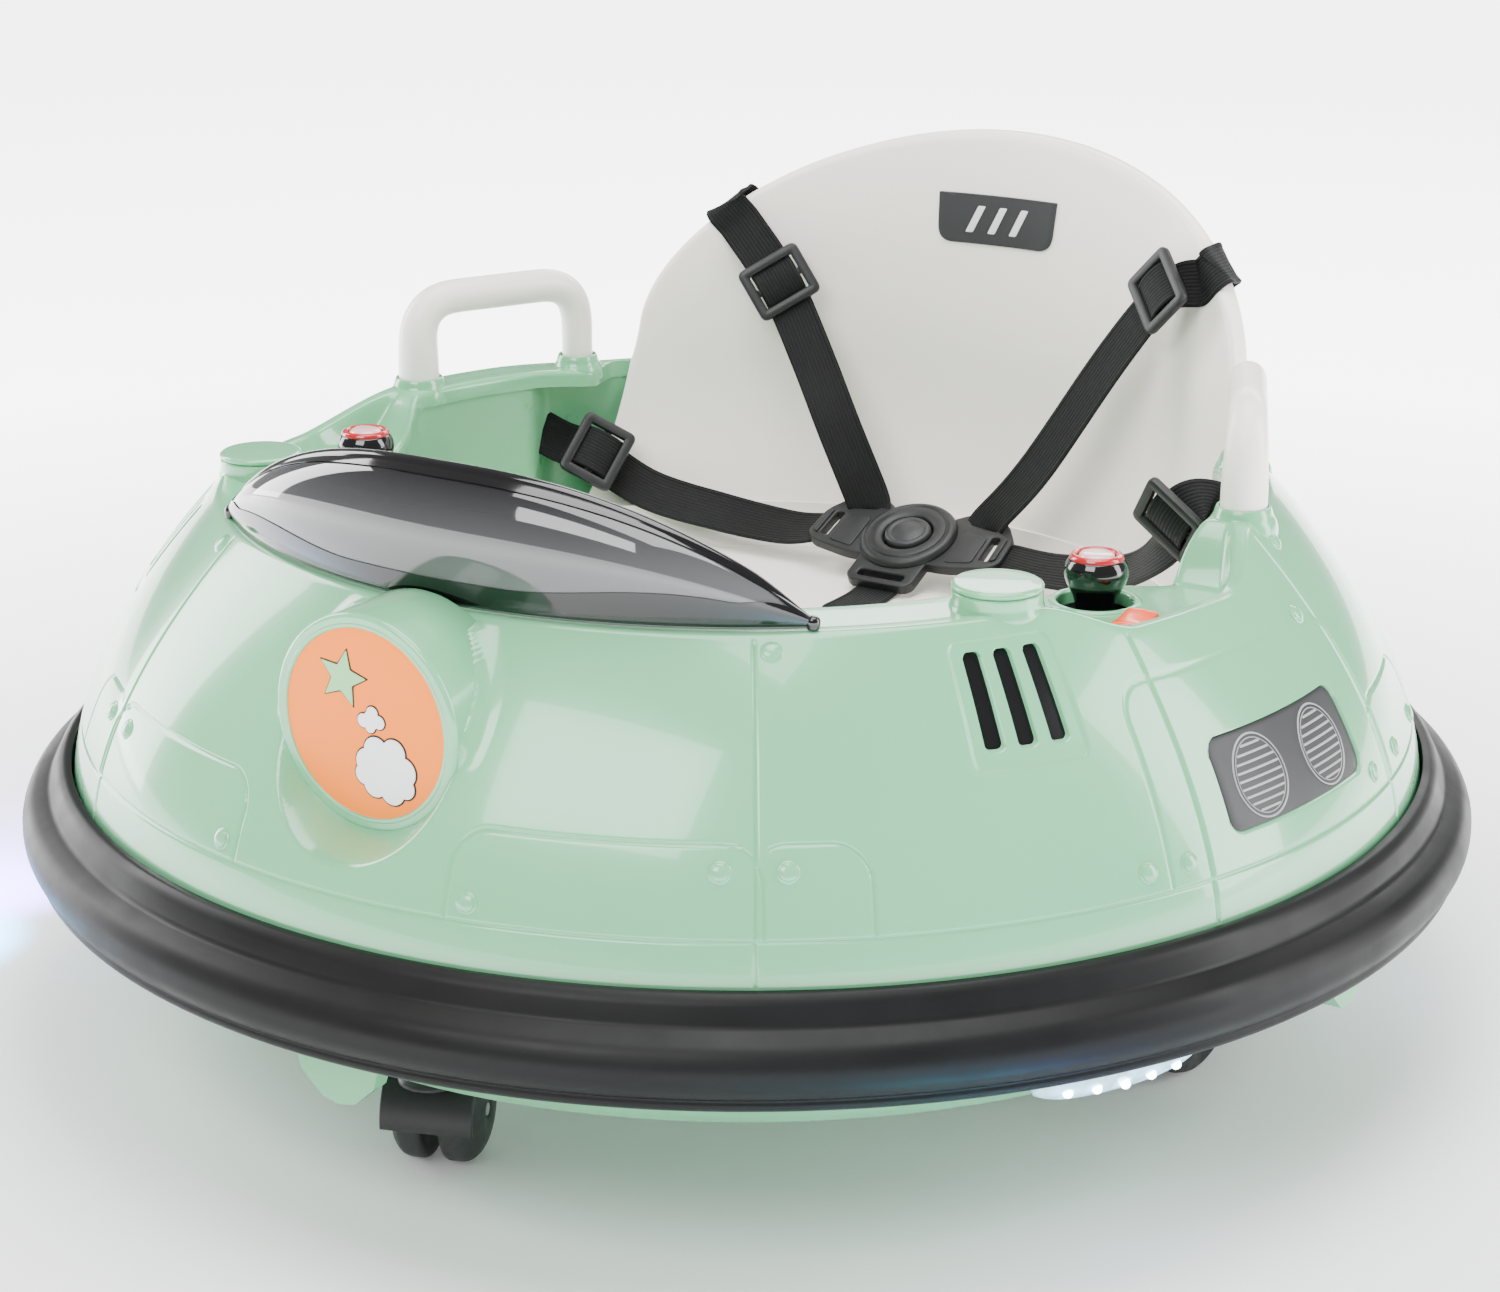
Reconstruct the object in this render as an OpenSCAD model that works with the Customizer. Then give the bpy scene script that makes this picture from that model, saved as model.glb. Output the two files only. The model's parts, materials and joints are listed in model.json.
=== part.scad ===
// Round ride-on bumper car for a small child: domed body on a two-wheel-drive chassis with two casters.
// Millimetres. The origin is on the floor under the middle of the bumper ring.
// +Z is up, the car faces -Y, and +X is its right-hand lamp panel side.

/* [Body] */
// Radius of the body where it meets the bumper
body_r = 338; // [335:0.5:339]
// Thickness of the moulded body skin
skin = 3.5; // [3:0.1:4]
// How far the bumper stands out from the body
bumper_out = 27; // [24:0.5:30]
// Number of vent slots on each side
vent_count = 3; // [1:1:3]
// Width of one vent slot
vent_w = 8; // [6:0.5:8.5]
// Radius of the front badge
badge_r = 45; // [40:0.5:45]
// Radius of the round deck caps
cap_r = 20; // [18:0.5:20.5]

/* [Windshield] */
// Half of the windshield's width
shield_half = 165; // [155:1:166]
// Height of the windshield's top edge above the floor
shield_top = 331; // [320:1:333]
// Thickness of the windshield
shield_t = 2.4; // [2:0.1:2.8]

/* [Seat and harness] */
// Height of the top of the seat back
seat_top = 404; // [390:1:404]
// Half of the seat back's width
seat_half = 185; // [180:1:186]
// Width of the webbing
web_w = 25; // [22:0.5:26]
// Thickness of the webbing
web_t = 1.6; // [1.2:0.1:1.8]

/* [Running gear] */
// Radius of the drive wheels
wheel_r = 62; // [60:0.5:62]
// Width of the drive wheels
wheel_w = 34; // [28:1:34]
// Radius of the caster wheels
caster_r = 25; // [23:0.5:25]
// How far a caster's wheels trail behind its stem
trail = 18; // [15:0.5:19]

/* [Controls] */
// Greatest radius of a joystick knob
knob_r = 15; // [13:0.5:15]
// Radius of the grab handle bar
bar_r = 8.5; // [7.5:0.5:9]

/* [Hidden] */
$fn = 96;
gap = 0.3;
run = 0.05;
foot_z = 140;
dome_rise = 130;
dome_low = 134;
dome_top = 270;
seam_ts = [33, 69.5, 97];
ring_in = body_r + 1.2;
ring_out = body_r + bumper_out;
ring_low = 95;
ring_high = 142;
chassis_z = 62;
chassis_r = 300;
pad_z = 58;
pad_r = 120;
tub_floor = 84;
well_r = 150;
shelf_z = 150;
wall_front_r = 218;
wall_side_r = 190;
wall_mid_r = 231;
wall_rear_r = 254;
deck_z = 245;
deck_t = 3.5;
front_deck_z = 266;
stick_x = 213;
stick_y = -38;
pivot_z = 222;
rocker_x = 246;
rocker_y = -65;
rocker_tilt = 6;
cap_x = 208.5;
cap_y = -126;
cap_z = 277;
badge_y = -303;
badge_z = 228.5;
boss_r = badge_r + 4;
scoop_r = badge_r + 8.5;
pan_z = 168;
pan_t = 4;
seat_t = 4;
seat_front = 20;
grip_top = 321;
foot_f = [246, 50];
foot_b = [205, 143];
drive_x = 235;
drive_y = 22;
axle_z = wheel_r;
axle_r = 4;
gear_m = 1.5;
gear_n = 48;
pinion_n = 12;
gear_dist = gear_m * (gear_n + pinion_n) / 2;
box_x0 = 191;
box_x1 = 215;
motor_r = 15;
motor_x0 = 163;
caster_y = 268;
stem_r = 5;
swivel_front = 20;
swivel_back = -35;
buckle_p = [0, 167, 194];
buckle_tilt = 24;
mint = [0.66, 0.82, 0.71];
cream = [0.94, 0.92, 0.89];
black = [0.06, 0.06, 0.06];
grey = [0.22, 0.22, 0.23];
steel = [0.7, 0.7, 0.72];
orange = [0.95, 0.5, 0.2];
red = [0.75, 0.05, 0.08];

// Outer radius of the dome at a height.
function skin_r(z) = let (h = (z - foot_z) / dome_rise) body_r - 20.28 * h - 61.4 * h * h + 5.36 * h * h * h;
// Inner radius of the seat back at a height.
function seat_r(z) = z > 272 ? 249.6 + (z - 272) * 0.149 : 249.6 - 24.6 * pow((272 - z) / 100, 1.8);
// Half width of the seat back at a height.
function seat_x(z) = z > 290 ? seat_half * sqrt(max(0, 1 - pow((z - 290) / (seat_top - 290), 2)))
  : seat_half + (290 - z) * 0.1;
// A point on the car from an angle round the body (0 at the front, growing toward +X), a radius and a height.
function at(t, r, z) = [r * sin(t), -r * cos(t), z];
function cross3(a, b) = [a[1]*b[2] - a[2]*b[1], a[2]*b[0] - a[0]*b[2], a[0]*b[1] - a[1]*b[0]];
function unit(v) = v / norm(v);

// Turns a shape drawn at the front of the car round to an angle.
module turn(t) {
  rotate([0, 0, t]) children();
}

// Sweeps a (radius, height) profile from one angle round the car to another.
module sector(t0, t1) {
  rotate([0, 0, t0 - 90]) rotate_extrude(angle = t1 - t0) children();
}

// Does the same on both sides of the car.
module both_sides() {
  children();
  mirror([1, 0, 0]) children();
}

module rect(r0, r1, z0, z1) {
  translate([r0, z0]) square([r1 - r0, z1 - z0]);
}

// A round bar between two points.
module bar(a, b, r0, r1) {
  d = b - a;
  translate(a)
    rotate([0, acos(d[2] / norm(d)), atan2(d[1], d[0])])
      cylinder(h = norm(d), r1 = r0, r2 = r1);
}

// ---------------------------------------------------------------- chassis

// Open-bottomed box over a drive wheel and its gearbox.
module wheel_well(grow) {
  translate([157 - grow, -48 - grow, chassis_z - 1])
    cube([104 + 2 * grow, 146 + 2 * grow, 71 + grow]);
}

module guard_tab() {
  translate([0, -body_r + 10, 61])
    rotate([90, 0, 0])
      linear_extrude(height = 9, center = true)
        polygon([[-28, 37], [28, 37], [20, 12], [9, 2], [0, 0], [-9, 2], [-20, 12]]);
}

module lower_chassis() {
  color(mint) {
    difference() {
      union() {
        rotate_extrude()
          polygon([[0, chassis_z], [chassis_r, chassis_z], [body_r - 3, 100], [body_r - 3, 115.8],
            [body_r + 7, 115.8], [body_r + 7, 118.8], [body_r - 3, 118.8], [body_r - 3, 133.6],
            [body_r - 6.5, 133.6], [body_r - 6.5, 101.5], [chassis_r - 1.5, 66], [0, 66]]);
        translate([0, 0, pad_z]) cylinder(h = 5, r = pad_r);
        both_sides() wheel_well(3);
        for (s = [-1, 1]) translate([0, s * caster_y, chassis_z]) cylinder(h = 34, r = 13);
        for (t = [0:60:300]) turn(t) translate([0, -110, 65]) cylinder(h = tub_floor - 65, r = 7, $fn = 24);
        for (t = [0:90:270]) turn(t) guard_tab();
      }
      both_sides() wheel_well(0);
      for (s = [-1, 1]) translate([0, s * caster_y, chassis_z - 1]) cylinder(h = 31, r = stem_r + run);
      for (t = [20, 45, 135, 160, 200, 225, 315, 340])
        turn(t) translate([0, -275, chassis_z - 1]) cylinder(h = 8, r = 2.2, $fn = 24);
    }
  }
}

module chassis_screws() {
  color(steel)
    for (t = [20, 45, 135, 160, 200, 225, 315, 340])
      turn(t) translate([0, -275, 0]) {
        translate([0, 0, chassis_z - 2]) cylinder(h = 2, r = 4.5, $fn = 24);
        translate([0, 0, chassis_z - 1]) cylinder(h = 8, r = 2, $fn = 24);
      }
}

// ---------------------------------------------------------------- tub inside the body

module tub_wall(t0, t1, r, top) {
  sector(t0, t1) rect(r, r + 3, shelf_z + 1, top);
}

// Radial wall joining two radii at one angle.
module tub_step(t, r0, r1, top) {
  turn(t) translate([-1.5, -r1 - 2.2, shelf_z + 1.4]) cube([3, r1 - r0 + 1.4, top - shelf_z - 1.6]);
}

// Part of the shelf round the well; in sets its plates a hair apart in height so that they merge cleanly.
module tub_shelf(t0, t1, r, in) {
  sector(t0, t1) rect(well_r + 1 + in, r + 1.5, shelf_z + in, shelf_z + 3 - in);
}

module cockpit_tub() {
  color(mint) {
    translate([0, 0, tub_floor]) cylinder(h = 3, r = well_r + 2);
    rotate_extrude() rect(well_r, well_r + 3, tub_floor - 0.4, shelf_z + 2.4);
    tub_shelf(-62, 62, wall_front_r, 0);
    tub_shelf(119.5, 240.5, wall_rear_r, 0.1);
    tub_wall(-61.8, 61.8, wall_front_r, front_deck_z - gap);
    tub_wall(120, 240, wall_rear_r, dome_top - 8);
    both_sides() {
      tub_shelf(60.5, 88.5, wall_side_r, 0.2);
      tub_shelf(87.6, 120.6, wall_mid_r, 0.3);
      tub_wall(61.5, 88.3, wall_side_r, deck_z - gap);
      tub_wall(87.8, 120.4, wall_mid_r, deck_z - gap - 0.2);
      tub_step(62, wall_side_r, wall_front_r, deck_z - gap - 0.1);
      tub_step(88, wall_side_r, wall_mid_r, deck_z - gap - 0.1);
      tub_step(120, wall_mid_r, wall_rear_r, deck_z - gap - 0.1);
      for (t = [128, 165]) turn(t) translate([0, -195, shelf_z + 1]) cylinder(h = pan_z - shelf_z - 1, r = 8, $fn = 24);
    }
  }
}

// ---------------------------------------------------------------- dome

// Heights at which the dome's profile turns; the pair in the middle is the ring groove.
dome_zs = [134, 144, 152, 159.5, 159.6, 161, 161.1, 172, 184, 196, 208, 219, 230, 240, 249, 257.5, 265];

module dome_profile() {
  polygon(concat(
    [for (z = dome_zs) [skin_r(z) - (abs(z - 160.3) < 0.75 ? 0.9 : 0), z]],
    [[skin_r(dome_top), dome_top], [260, 270.6], [256, 270.6], [254.5, 269.5], [254.5, 266.2], [262.3, 265]],
    [for (z = [258:-15.5:dome_low]) [skin_r(z) - skin, z]]));
}

// Thin band that follows the dome, from a little under its surface to well outside it.
module dome_band(z0, z1, deep, n) {
  polygon(concat(
    [for (i = [0:n]) let (z = z0 + (z1 - z0) * i / n) [skin_r(z) - deep, z]],
    [[skin_r(z0) + 8, z1], [skin_r(z0) + 8, z0]]));
}

// Stands a shape on the dome's surface with its +Z along the surface's normal.
module on_dome(t, z) {
  slope = atan((skin_r(z - 5) - skin_r(z + 5)) / 10);
  turn(t) translate([0, -skin_r(z), z]) rotate([90 - slope, 0, 0]) children();
}

module rivet(t, z) {
  on_dome(t, z) translate([0, 0, -1]) cylinder(h = 2, r1 = 5, r2 = 3.6, $fn = 24);
}

module rivets() {
  for (p = [[11.7, 168], [30.4, 187], [35.6, 187], [35.6, 262], [63.5, 170], [67, 170], [93.5, 170], [100.5, 170]])
    rivet(p[0], p[1]);
}

// Upright rib across the deck that follows the inside of the skin at its outer end.
module deck_rib(t0, t1, r, top) {
  sector(t0, t1) polygon([[r, 246], [281, 246], [272, 257], [262, 267.5], [262, top], [r, top]]);
}

module deck_side() {
  sector(61.8, 88.6) polygon([[wall_side_r, deck_z], [282.5, deck_z], [280, deck_z + deck_t], [wall_side_r, deck_z + deck_t]]);
  sector(87.4, 100) polygon([[wall_mid_r, deck_z + 0.2], [282, deck_z + 0.2], [280, deck_z + 3.3], [wall_mid_r, deck_z + 3.3]]);
  deck_rib(61.9, 63.6, wall_side_r + 0.6, 268.6);
  deck_rib(96.9, 98.6, wall_mid_r + 0.8, 271.2);
  sector(96.7, 119) rect(wall_mid_r + 4, 258, dome_top - 1.2, dome_top + 2.6);
  sector(97.3, 118.6) rect(wall_mid_r + 3, wall_mid_r + 6, deck_z + 0.6, dome_top + 1);
  sector(98, 118.9) rect(wall_mid_r + 0.4, wall_mid_r + 4.5, deck_z + 0.1, deck_z + 3);
  sector(117.4, 119.3) rect(wall_mid_r + 4.5, wall_rear_r - 0.5, deck_z + 1, dome_top + 1.5);
  sector(118.2, 128) rect(240, 257.6, dome_top - 0.8, dome_top + 2.2);
  translate([foot_f[0], foot_f[1], 268]) cylinder(h = 7, r = 15, $fn = 48);
  translate([foot_b[0], foot_b[1], 268]) cylinder(h = 7, r = 12, $fn = 48);
}

module boss() {
  intersection() {
    translate([0, badge_y - 27, badge_z]) rotate([-90, 0, 0]) cylinder(h = 31, r = scoop_r + 3.5);
    rotate_extrude() polygon(concat([[250, 160]], [for (z = [160:22:248]) [skin_r(z) - 0.8, z]], [[250, 248]]));
  }
  translate([0, badge_y, badge_z]) rotate([-90, 0, 0]) cylinder(h = 39, r = boss_r);
}

module upper_body() {
  color(mint)
    difference() {
      union() {
        difference() {
          rotate_extrude() dome_profile();
          both_sides() {
            sector(66, 96.5) rect(225, 300, 257.5, 280);
          }
        }
        sector(-62.6, 62.6) rect(wall_front_r, 257, front_deck_z, front_deck_z + 3);
        both_sides() deck_side();
        both_sides() translate([cap_x, cap_y, 262]) cylinder(h = cap_z - 262, r = cap_r);
        both_sides() rivets();
        boss();
      }
      for (t = seam_ts) both_sides() sector(t - 0.13, t + 0.13) dome_band(142, 268, 1.1, 6);
      // scoop under the badge and the hollow behind it
      translate([0, badge_y - 40, badge_z]) rotate([-90, 0, 0]) cylinder(h = 40, r = scoop_r);
      intersection() {
        translate([0, badge_y + 4, badge_z]) rotate([-90, 0, 0]) cylinder(h = 38, r = badge_r - 1);
        rotate_extrude() polygon([[240, 175], [skin_r(175) - 5, 175], [skin_r(218) - 5, 218], [skin_r(260) - 5, 260],
          [240, 260]]);
      }
      // vents
      both_sides() for (i = [0:vent_count - 1])
        sector(55.9 + (i - 1) * 3 - vent_w / 10.4, 55.9 + (i - 1) * 3 + vent_w / 10.4) rect(255, 340, 224.5, 259);
      // lamp panel recess and the speaker openings behind it
      both_sides() sector(72.5, 92) dome_band(174.5, 213, 2.2, 3);
      both_sides() for (t = [77.6, 87.2]) turn(t) translate([0, -330, 193]) rotate([-90, 0, 0])
        cylinder(h = 40, r = 12, $fn = 48);
      // joystick and rocker openings
      both_sides() translate([stick_x, stick_y, deck_z - 10]) cylinder(h = 20, r = 17.5, $fn = 48);
      translate([rocker_x - 9, rocker_y - 13.5, deck_z - 8]) cube([18, 27, 14]);
      // spigot holes for the handles
      both_sides() {
        translate([foot_f[0], foot_f[1], 269]) cylinder(h = 8, r = 5.3, $fn = 24);
        translate([foot_b[0], foot_b[1], 269]) cylinder(h = 8, r = 5.3, $fn = 24);
      }
      // charging inlet hole
      on_dome(180, 185) translate([0, 0, -20]) cylinder(h = 40, r = 9.2, $fn = 48);
    }
}

module cap_lids() {
  color(mint)
    both_sides() translate([cap_x, cap_y, cap_z + 0.2])
      rotate_extrude() polygon([[0, 0], [cap_r - 1, 0], [cap_r + 0.4, 0.8], [cap_r + 0.4, 2.2], [cap_r - 1, 3.2], [0, 3.6]]);
}

module vent_inserts() {
  color(black)
    both_sides() sector(51.4, 60.4)
      polygon(concat([for (z = [221:4:261]) [skin_r(z) - skin - 0.4, z]],
        [for (z = [261:-4:221]) [skin_r(z) - skin - 2.2, z]]));
}

module dome_strip(z0, z1, deep, proud) {
  polygon(concat([for (i = [0:8]) let (z = z0 + (z1 - z0) * i / 8) [skin_r(z) + proud, z]],
    [for (i = [8:-1:0]) let (z = z0 + (z1 - z0) * i / 8) [skin_r(z) - deep, z]]));
}

module lamp_panels() {
  color(grey)
    both_sides() difference() {
      sector(72.65, 91.85) dome_strip(174.8, 212.7, 2, 0.2);
      for (t = [77.6, 87.2]) turn(t) translate([0, -335, 193.3]) rotate([-90, 0, 0])
        cylinder(h = 40, r = 17.5, $fn = 64);
    }
}

module lamp_grilles() {
  color(grey)
    both_sides() for (t = [77.6, 87.2])
      intersection() {
        sector(t - 4, t + 4) dome_strip(174.9, 212.6, 1.9, 0.5);
        turn(t) translate([0, -335, 193.3]) rotate([-90, 0, 0]) difference() {
          cylinder(h = 40, r = 17.2, $fn = 64);
          for (k = [-3:3]) let (half = sqrt(17.2 * 17.2 - pow(abs(k) * 3.8 + 0.9, 2)) - 2.5)
            translate([-half, k * 3.8 - 0.9, -1]) cube([2 * half, 1.8, 42]);
        }
      }
}

module speakers() {
  color(black)
    both_sides() turn(82.4) translate([0, -302, 193]) rotate([-90, 0, 0])
      difference() {
        union() {
          cylinder(h = 2, r = 22);
          cylinder(h = 18, r = 15);
        }
        translate([0, 0, -1]) cylinder(h = 8, r1 = 17, r2 = 6);
      }
}

module badge_face() {
  color(orange)
    translate([0, badge_y - 1.2, badge_z]) rotate([-90, 0, 0]) cylinder(h = 1.1, r = badge_r - 4);
}

module badge_ring() {
  color(mint)
    translate([0, badge_y - 1.8, badge_z]) rotate([-90, 0, 0])
      difference() {
        cylinder(h = 1.7, r = badge_r);
        translate([0, 0, -1]) cylinder(h = 4, r = badge_r - 3.8);
      }
}

module charging_inlet() {
  color(black)
    on_dome(180, 185)
      difference() {
        union() {
          translate([0, 0, 0.5]) cylinder(h = 1.6, r = 12.5, $fn = 48);
          translate([0, 0, -16]) cylinder(h = 17, r = 9, $fn = 48);
        }
        difference() {
          translate([0, 0, -12]) cylinder(h = 20, r = 3.2, $fn = 32);
          translate([0, 0, -12]) cylinder(h = 9, r = 1, $fn = 24);
        }
      }
}

// ---------------------------------------------------------------- bumper

module bumper_ring() {
  color(black)
    rotate_extrude($fn = 180)
      polygon([[body_r - 2, ring_low], [body_r + 5, ring_low - 0.5], [body_r + 7, 106], [body_r + 10.4, 112],
        [body_r + 10.4, 120.5], [ring_out - 15, 121], [ring_out - 8, 118], [ring_out - 5, 111],
        [ring_out - 6.5, 106], [ring_out - 12, 100], [ring_out - 12, ring_low], [ring_out - 9, 95.3],
        [ring_out - 6, 96.5], [ring_out - 4.6, 98.5], [ring_out - 5, 101], [ring_out - 3.5, 102.5],
        [ring_out - 1.2, 106.3], [ring_out, 111], [ring_out - 0.6, 116], [ring_out - 3, 121],
        [ring_out - 7, 125], [ring_out - 12, 127.5], [ring_out - 14, 129], [ring_out - 15.5, 133],
        [ring_out - 18.5, 139.5], [ring_out - 21.5, ring_high], [ring_in, ring_high], [ring_in, 133.8],
        [body_r - 2, 133.8], [body_r - 2, 119.1], [body_r + 7.4, 119.1], [body_r + 7.4, 115.5],
        [body_r - 2, 115.5]]);
}

// ---------------------------------------------------------------- windshield

shield_base_r = 259.3;
shield_base_z = 272.4;
shield_tip_y = -sqrt(shield_base_r * shield_base_r - shield_half * shield_half);
shield_back_y = -248;

// A point of the windshield: s runs across it from -1 to 1, v up it from 0 to 1, off is the distance outward.
function shield_at(s, v, off) = let (
    t = asin(shield_half * s / shield_base_r),
    b = at(t, shield_base_r, shield_base_z),
    p = [shield_half * s, shield_back_y + (shield_tip_y - shield_back_y) * s * s,
      shield_base_z + (shield_top - shield_base_z) * (1 - pow(abs(s), 2.5))],
    d = [0.77 * sin(t), -0.77 * cos(t), 0.64])
  b * (1 - v) + p * v + d * (12 * 4 * v * (1 - v) * (1 - pow(s, 4)) + off);

// Curved plate between two offsets, over a range of s and v.
module shield_plate(s1, v0, v1, ns, nv, in0, out0) {
  pts = concat(
    [for (i = [0:ns]) for (j = [0:nv]) shield_at(s1 * (2 * i / ns - 1), v0 + (v1 - v0) * j / nv, out0)],
    [for (i = [0:ns]) for (j = [0:nv]) shield_at(s1 * (2 * i / ns - 1), v0 + (v1 - v0) * j / nv, in0)]);
  m = (ns + 1) * (nv + 1);
  function id(k, i, j) = k * m + i * (nv + 1) + j;
  polyhedron(points = pts, faces = concat(
    [for (i = [0:ns - 1]) for (j = [0:nv - 1]) each [
      [id(0, i, j), id(0, i, j + 1), id(0, i + 1, j + 1)], [id(0, i, j), id(0, i + 1, j + 1), id(0, i + 1, j)]]],
    [for (i = [0:ns - 1]) for (j = [0:nv - 1]) each [
      [id(1, i, j), id(1, i + 1, j + 1), id(1, i, j + 1)], [id(1, i, j), id(1, i + 1, j), id(1, i + 1, j + 1)]]],
    [for (i = [0:ns - 1]) each [
      [id(0, i, 0), id(0, i + 1, 0), id(1, i + 1, 0)], [id(0, i, 0), id(1, i + 1, 0), id(1, i, 0)],
      [id(0, i, nv), id(1, i + 1, nv), id(0, i + 1, nv)], [id(0, i, nv), id(1, i, nv), id(1, i + 1, nv)]]],
    [for (j = [0:nv - 1]) each [
      [id(0, 0, j), id(1, 0, j), id(1, 0, j + 1)], [id(0, 0, j), id(1, 0, j + 1), id(0, 0, j + 1)],
      [id(0, ns, j), id(1, ns, j + 1), id(1, ns, j)], [id(0, ns, j), id(0, ns, j + 1), id(1, ns, j + 1)]]]));
}

module windshield() {
  color([0.1, 0.1, 0.11, 0.5]) shield_plate(0.985, 0, 1, 32, 8, -shield_t, 0);
}

module windshield_trim() {
  color(black) {
    shield_plate(0.985, 0, 0.13, 32, 1, 0.3, 1.6);
    shield_plate(0.985, 0.9, 1.01, 32, 1, 0.3, 2.6);
  }
}

// ---------------------------------------------------------------- joysticks and rocker

module stick_base_one() {
  translate([stick_x, stick_y, 0])
    difference() {
      translate([0, 0, 204]) cylinder(h = deck_z - gap - 204, r = 22, $fn = 64);
      translate([0, 0, 207]) cylinder(h = 60, r = 18.5, $fn = 64);
      translate([-30, 0, pivot_z]) rotate([0, 90, 0]) cylinder(h = 60, r = 2.5 + run, $fn = 32);
    }
  for (s = [-1, 1]) translate([stick_x - 4, stick_y + s * 14.5 - 3, 206]) cube([8, 6, 6]);
}

module stick_bases() {
  color(black) both_sides() stick_base_one();
}

module stick_one() {
  translate([stick_x, stick_y, 0]) {
    difference() {
      rotate_extrude($fn = 64)
        polygon([[0, pivot_z], [5.5, pivot_z], [5.5, 236], [9, 239], [9, 246], [10.5, 252], [knob_r - 1.2, 258],
          [knob_r, 262], [knob_r - 0.7, 265.5], [12.4, 269], [0, 269]]);
      translate([0, 0, 265.5]) cylinder(h = 5, r = 8.6, $fn = 48);
    }
    translate([0, 0, pivot_z]) sphere(r = 8, $fn = 48);
    translate([-21.5, 0, pivot_z]) rotate([0, 90, 0]) cylinder(h = 43, r = 2.5, $fn = 32);
  }
}

module right_stick() {
  color(black) stick_one();
}

module left_stick() {
  color(black) mirror([1, 0, 0]) stick_one();
}

module stick_ring_one() {
  translate([stick_x, stick_y, 269])
    rotate_extrude($fn = 64) polygon([[8.6, 0], [12.2, 0], [12.4, 1.2], [11.6, 2.4], [8.6, 2.4]]);
}

module right_stick_ring() {
  color(red) stick_ring_one();
}

module left_stick_ring() {
  color(red) mirror([1, 0, 0]) stick_ring_one();
}

module stick_button_one() {
  translate([stick_x, stick_y, 268.2])
    rotate_extrude($fn = 64) polygon([[0, 0], [8.3, 0], [8.3, 3.6], [6, 4.2], [0, 4.4]]);
}

module right_stick_button() {
  color(cream) stick_button_one();
}

module left_stick_button() {
  color(cream) mirror([1, 0, 0]) stick_button_one();
}

module rocker_bezel() {
  color(black)
    translate([rocker_x, rocker_y, 0])
      difference() {
        union() {
          translate([-10, -14.5, deck_z + deck_t + 0.2]) cube([20, 29, 1.4]);
          translate([-8.7, -13.2, 236]) cube([17.4, 26.4, deck_z + deck_t + 0.4 - 236]);
        }
        translate([-7.8, -12.3, 238]) cube([15.6, 24.6, 20]);
        translate([-8.4, 0, 247]) rotate([0, 90, 0]) cylinder(h = 16.8, r = 1.5 + run, $fn = 32);
      }
}

module rocker() {
  color(orange)
    translate([rocker_x, rocker_y, 247]) rotate([rocker_tilt, 0, 0]) {
      translate([-7.4, 0, 0]) rotate([90, 0, 90]) linear_extrude(height = 14.8)
        polygon([[-10.6, -2], [10.6, -2], [11.3, 4.5], [9, 7.2], [3, 6.4], [-3, 6.4], [-9, 7.2], [-11.3, 4.5]]);
      translate([-8.3, 0, 0]) rotate([0, 90, 0]) cylinder(h = 16.6, r = 1.5, $fn = 32);
    }
}

// ---------------------------------------------------------------- seat and harness

module arch(inset) {
  zs = [for (i = [0:24]) 290 + (seat_top - inset - 290) * sin(i * 90 / 24)];
  right = concat([for (z = [pan_z:12:288]) [seat_x(z) - inset, z]],
    [for (z = zs) [(seat_half - inset) * sqrt(max(0, 1 - pow((z - 290) / (seat_top - inset - 290), 2))), z]]);
  n = len(right);
  polygon(concat(right, [for (i = [n - 2:-1:0]) [-right[i][0], right[i][1]]]));
}

module through_back(y0) {
  translate([0, 300, 0]) rotate([90, 0, 0]) linear_extrude(height = 300 - y0) children();
}

module seat_profile(near, far, z0) {
  zs = [for (i = [0:18]) z0 + (seat_top + 1 - z0) * i / 18];
  polygon(concat([for (z = zs) [seat_r(z) + near, z]], [for (i = [18:-1:0]) [seat_r(zs[i]) + far, zs[i]]]));
}

module seat_shell() {
  color(cream) {
    intersection() {
      rotate_extrude() seat_profile(0, seat_t, pan_z + 1.5);
      through_back(60) arch(0);
    }
    intersection() {
      rotate_extrude() seat_profile(1.5, 13, 276);
      through_back(60.5) difference() {
        arch(0.2);
        arch(4);
      }
    }
    intersection() {
      translate([0, 0, pan_z]) cylinder(h = pan_t, r = 227);
      union() {
        translate([-184, seat_front, pan_z - 1]) cube([368, 50, 10]);
        translate([-196, 60, pan_z - 2]) cube([392, 180, 12]);
      }
    }
    translate([-146, seat_front + 0.4, 92]) cube([292, 3.5, pan_z - 92 + 1.2]);
  }
}

module seat_label() {
  color(grey)
    sector(171.6, 188.4)
      polygon([[seat_r(341) - 1.6, 341], [seat_r(341) - 0.3, 341], [seat_r(370) - 0.3, 370], [seat_r(370) - 1.6, 370]]);
}

// Smooth curve through a list of points, each span cut into k steps.
function curve(p, k) = let (n = len(p)) [for (i = [0:n - 2]) for (j = [0:k - (i == n - 2 ? 0 : 1)])
  let (t = j / k, a = p[max(i - 1, 0)], b = p[i], c = p[i + 1], d = p[min(i + 2, n - 1)])
    0.5 * (2 * b + (c - a) * t + (2 * a - 5 * b + 4 * c - d) * t * t + (3 * b - a - 3 * c + d) * t * t * t)];

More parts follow.
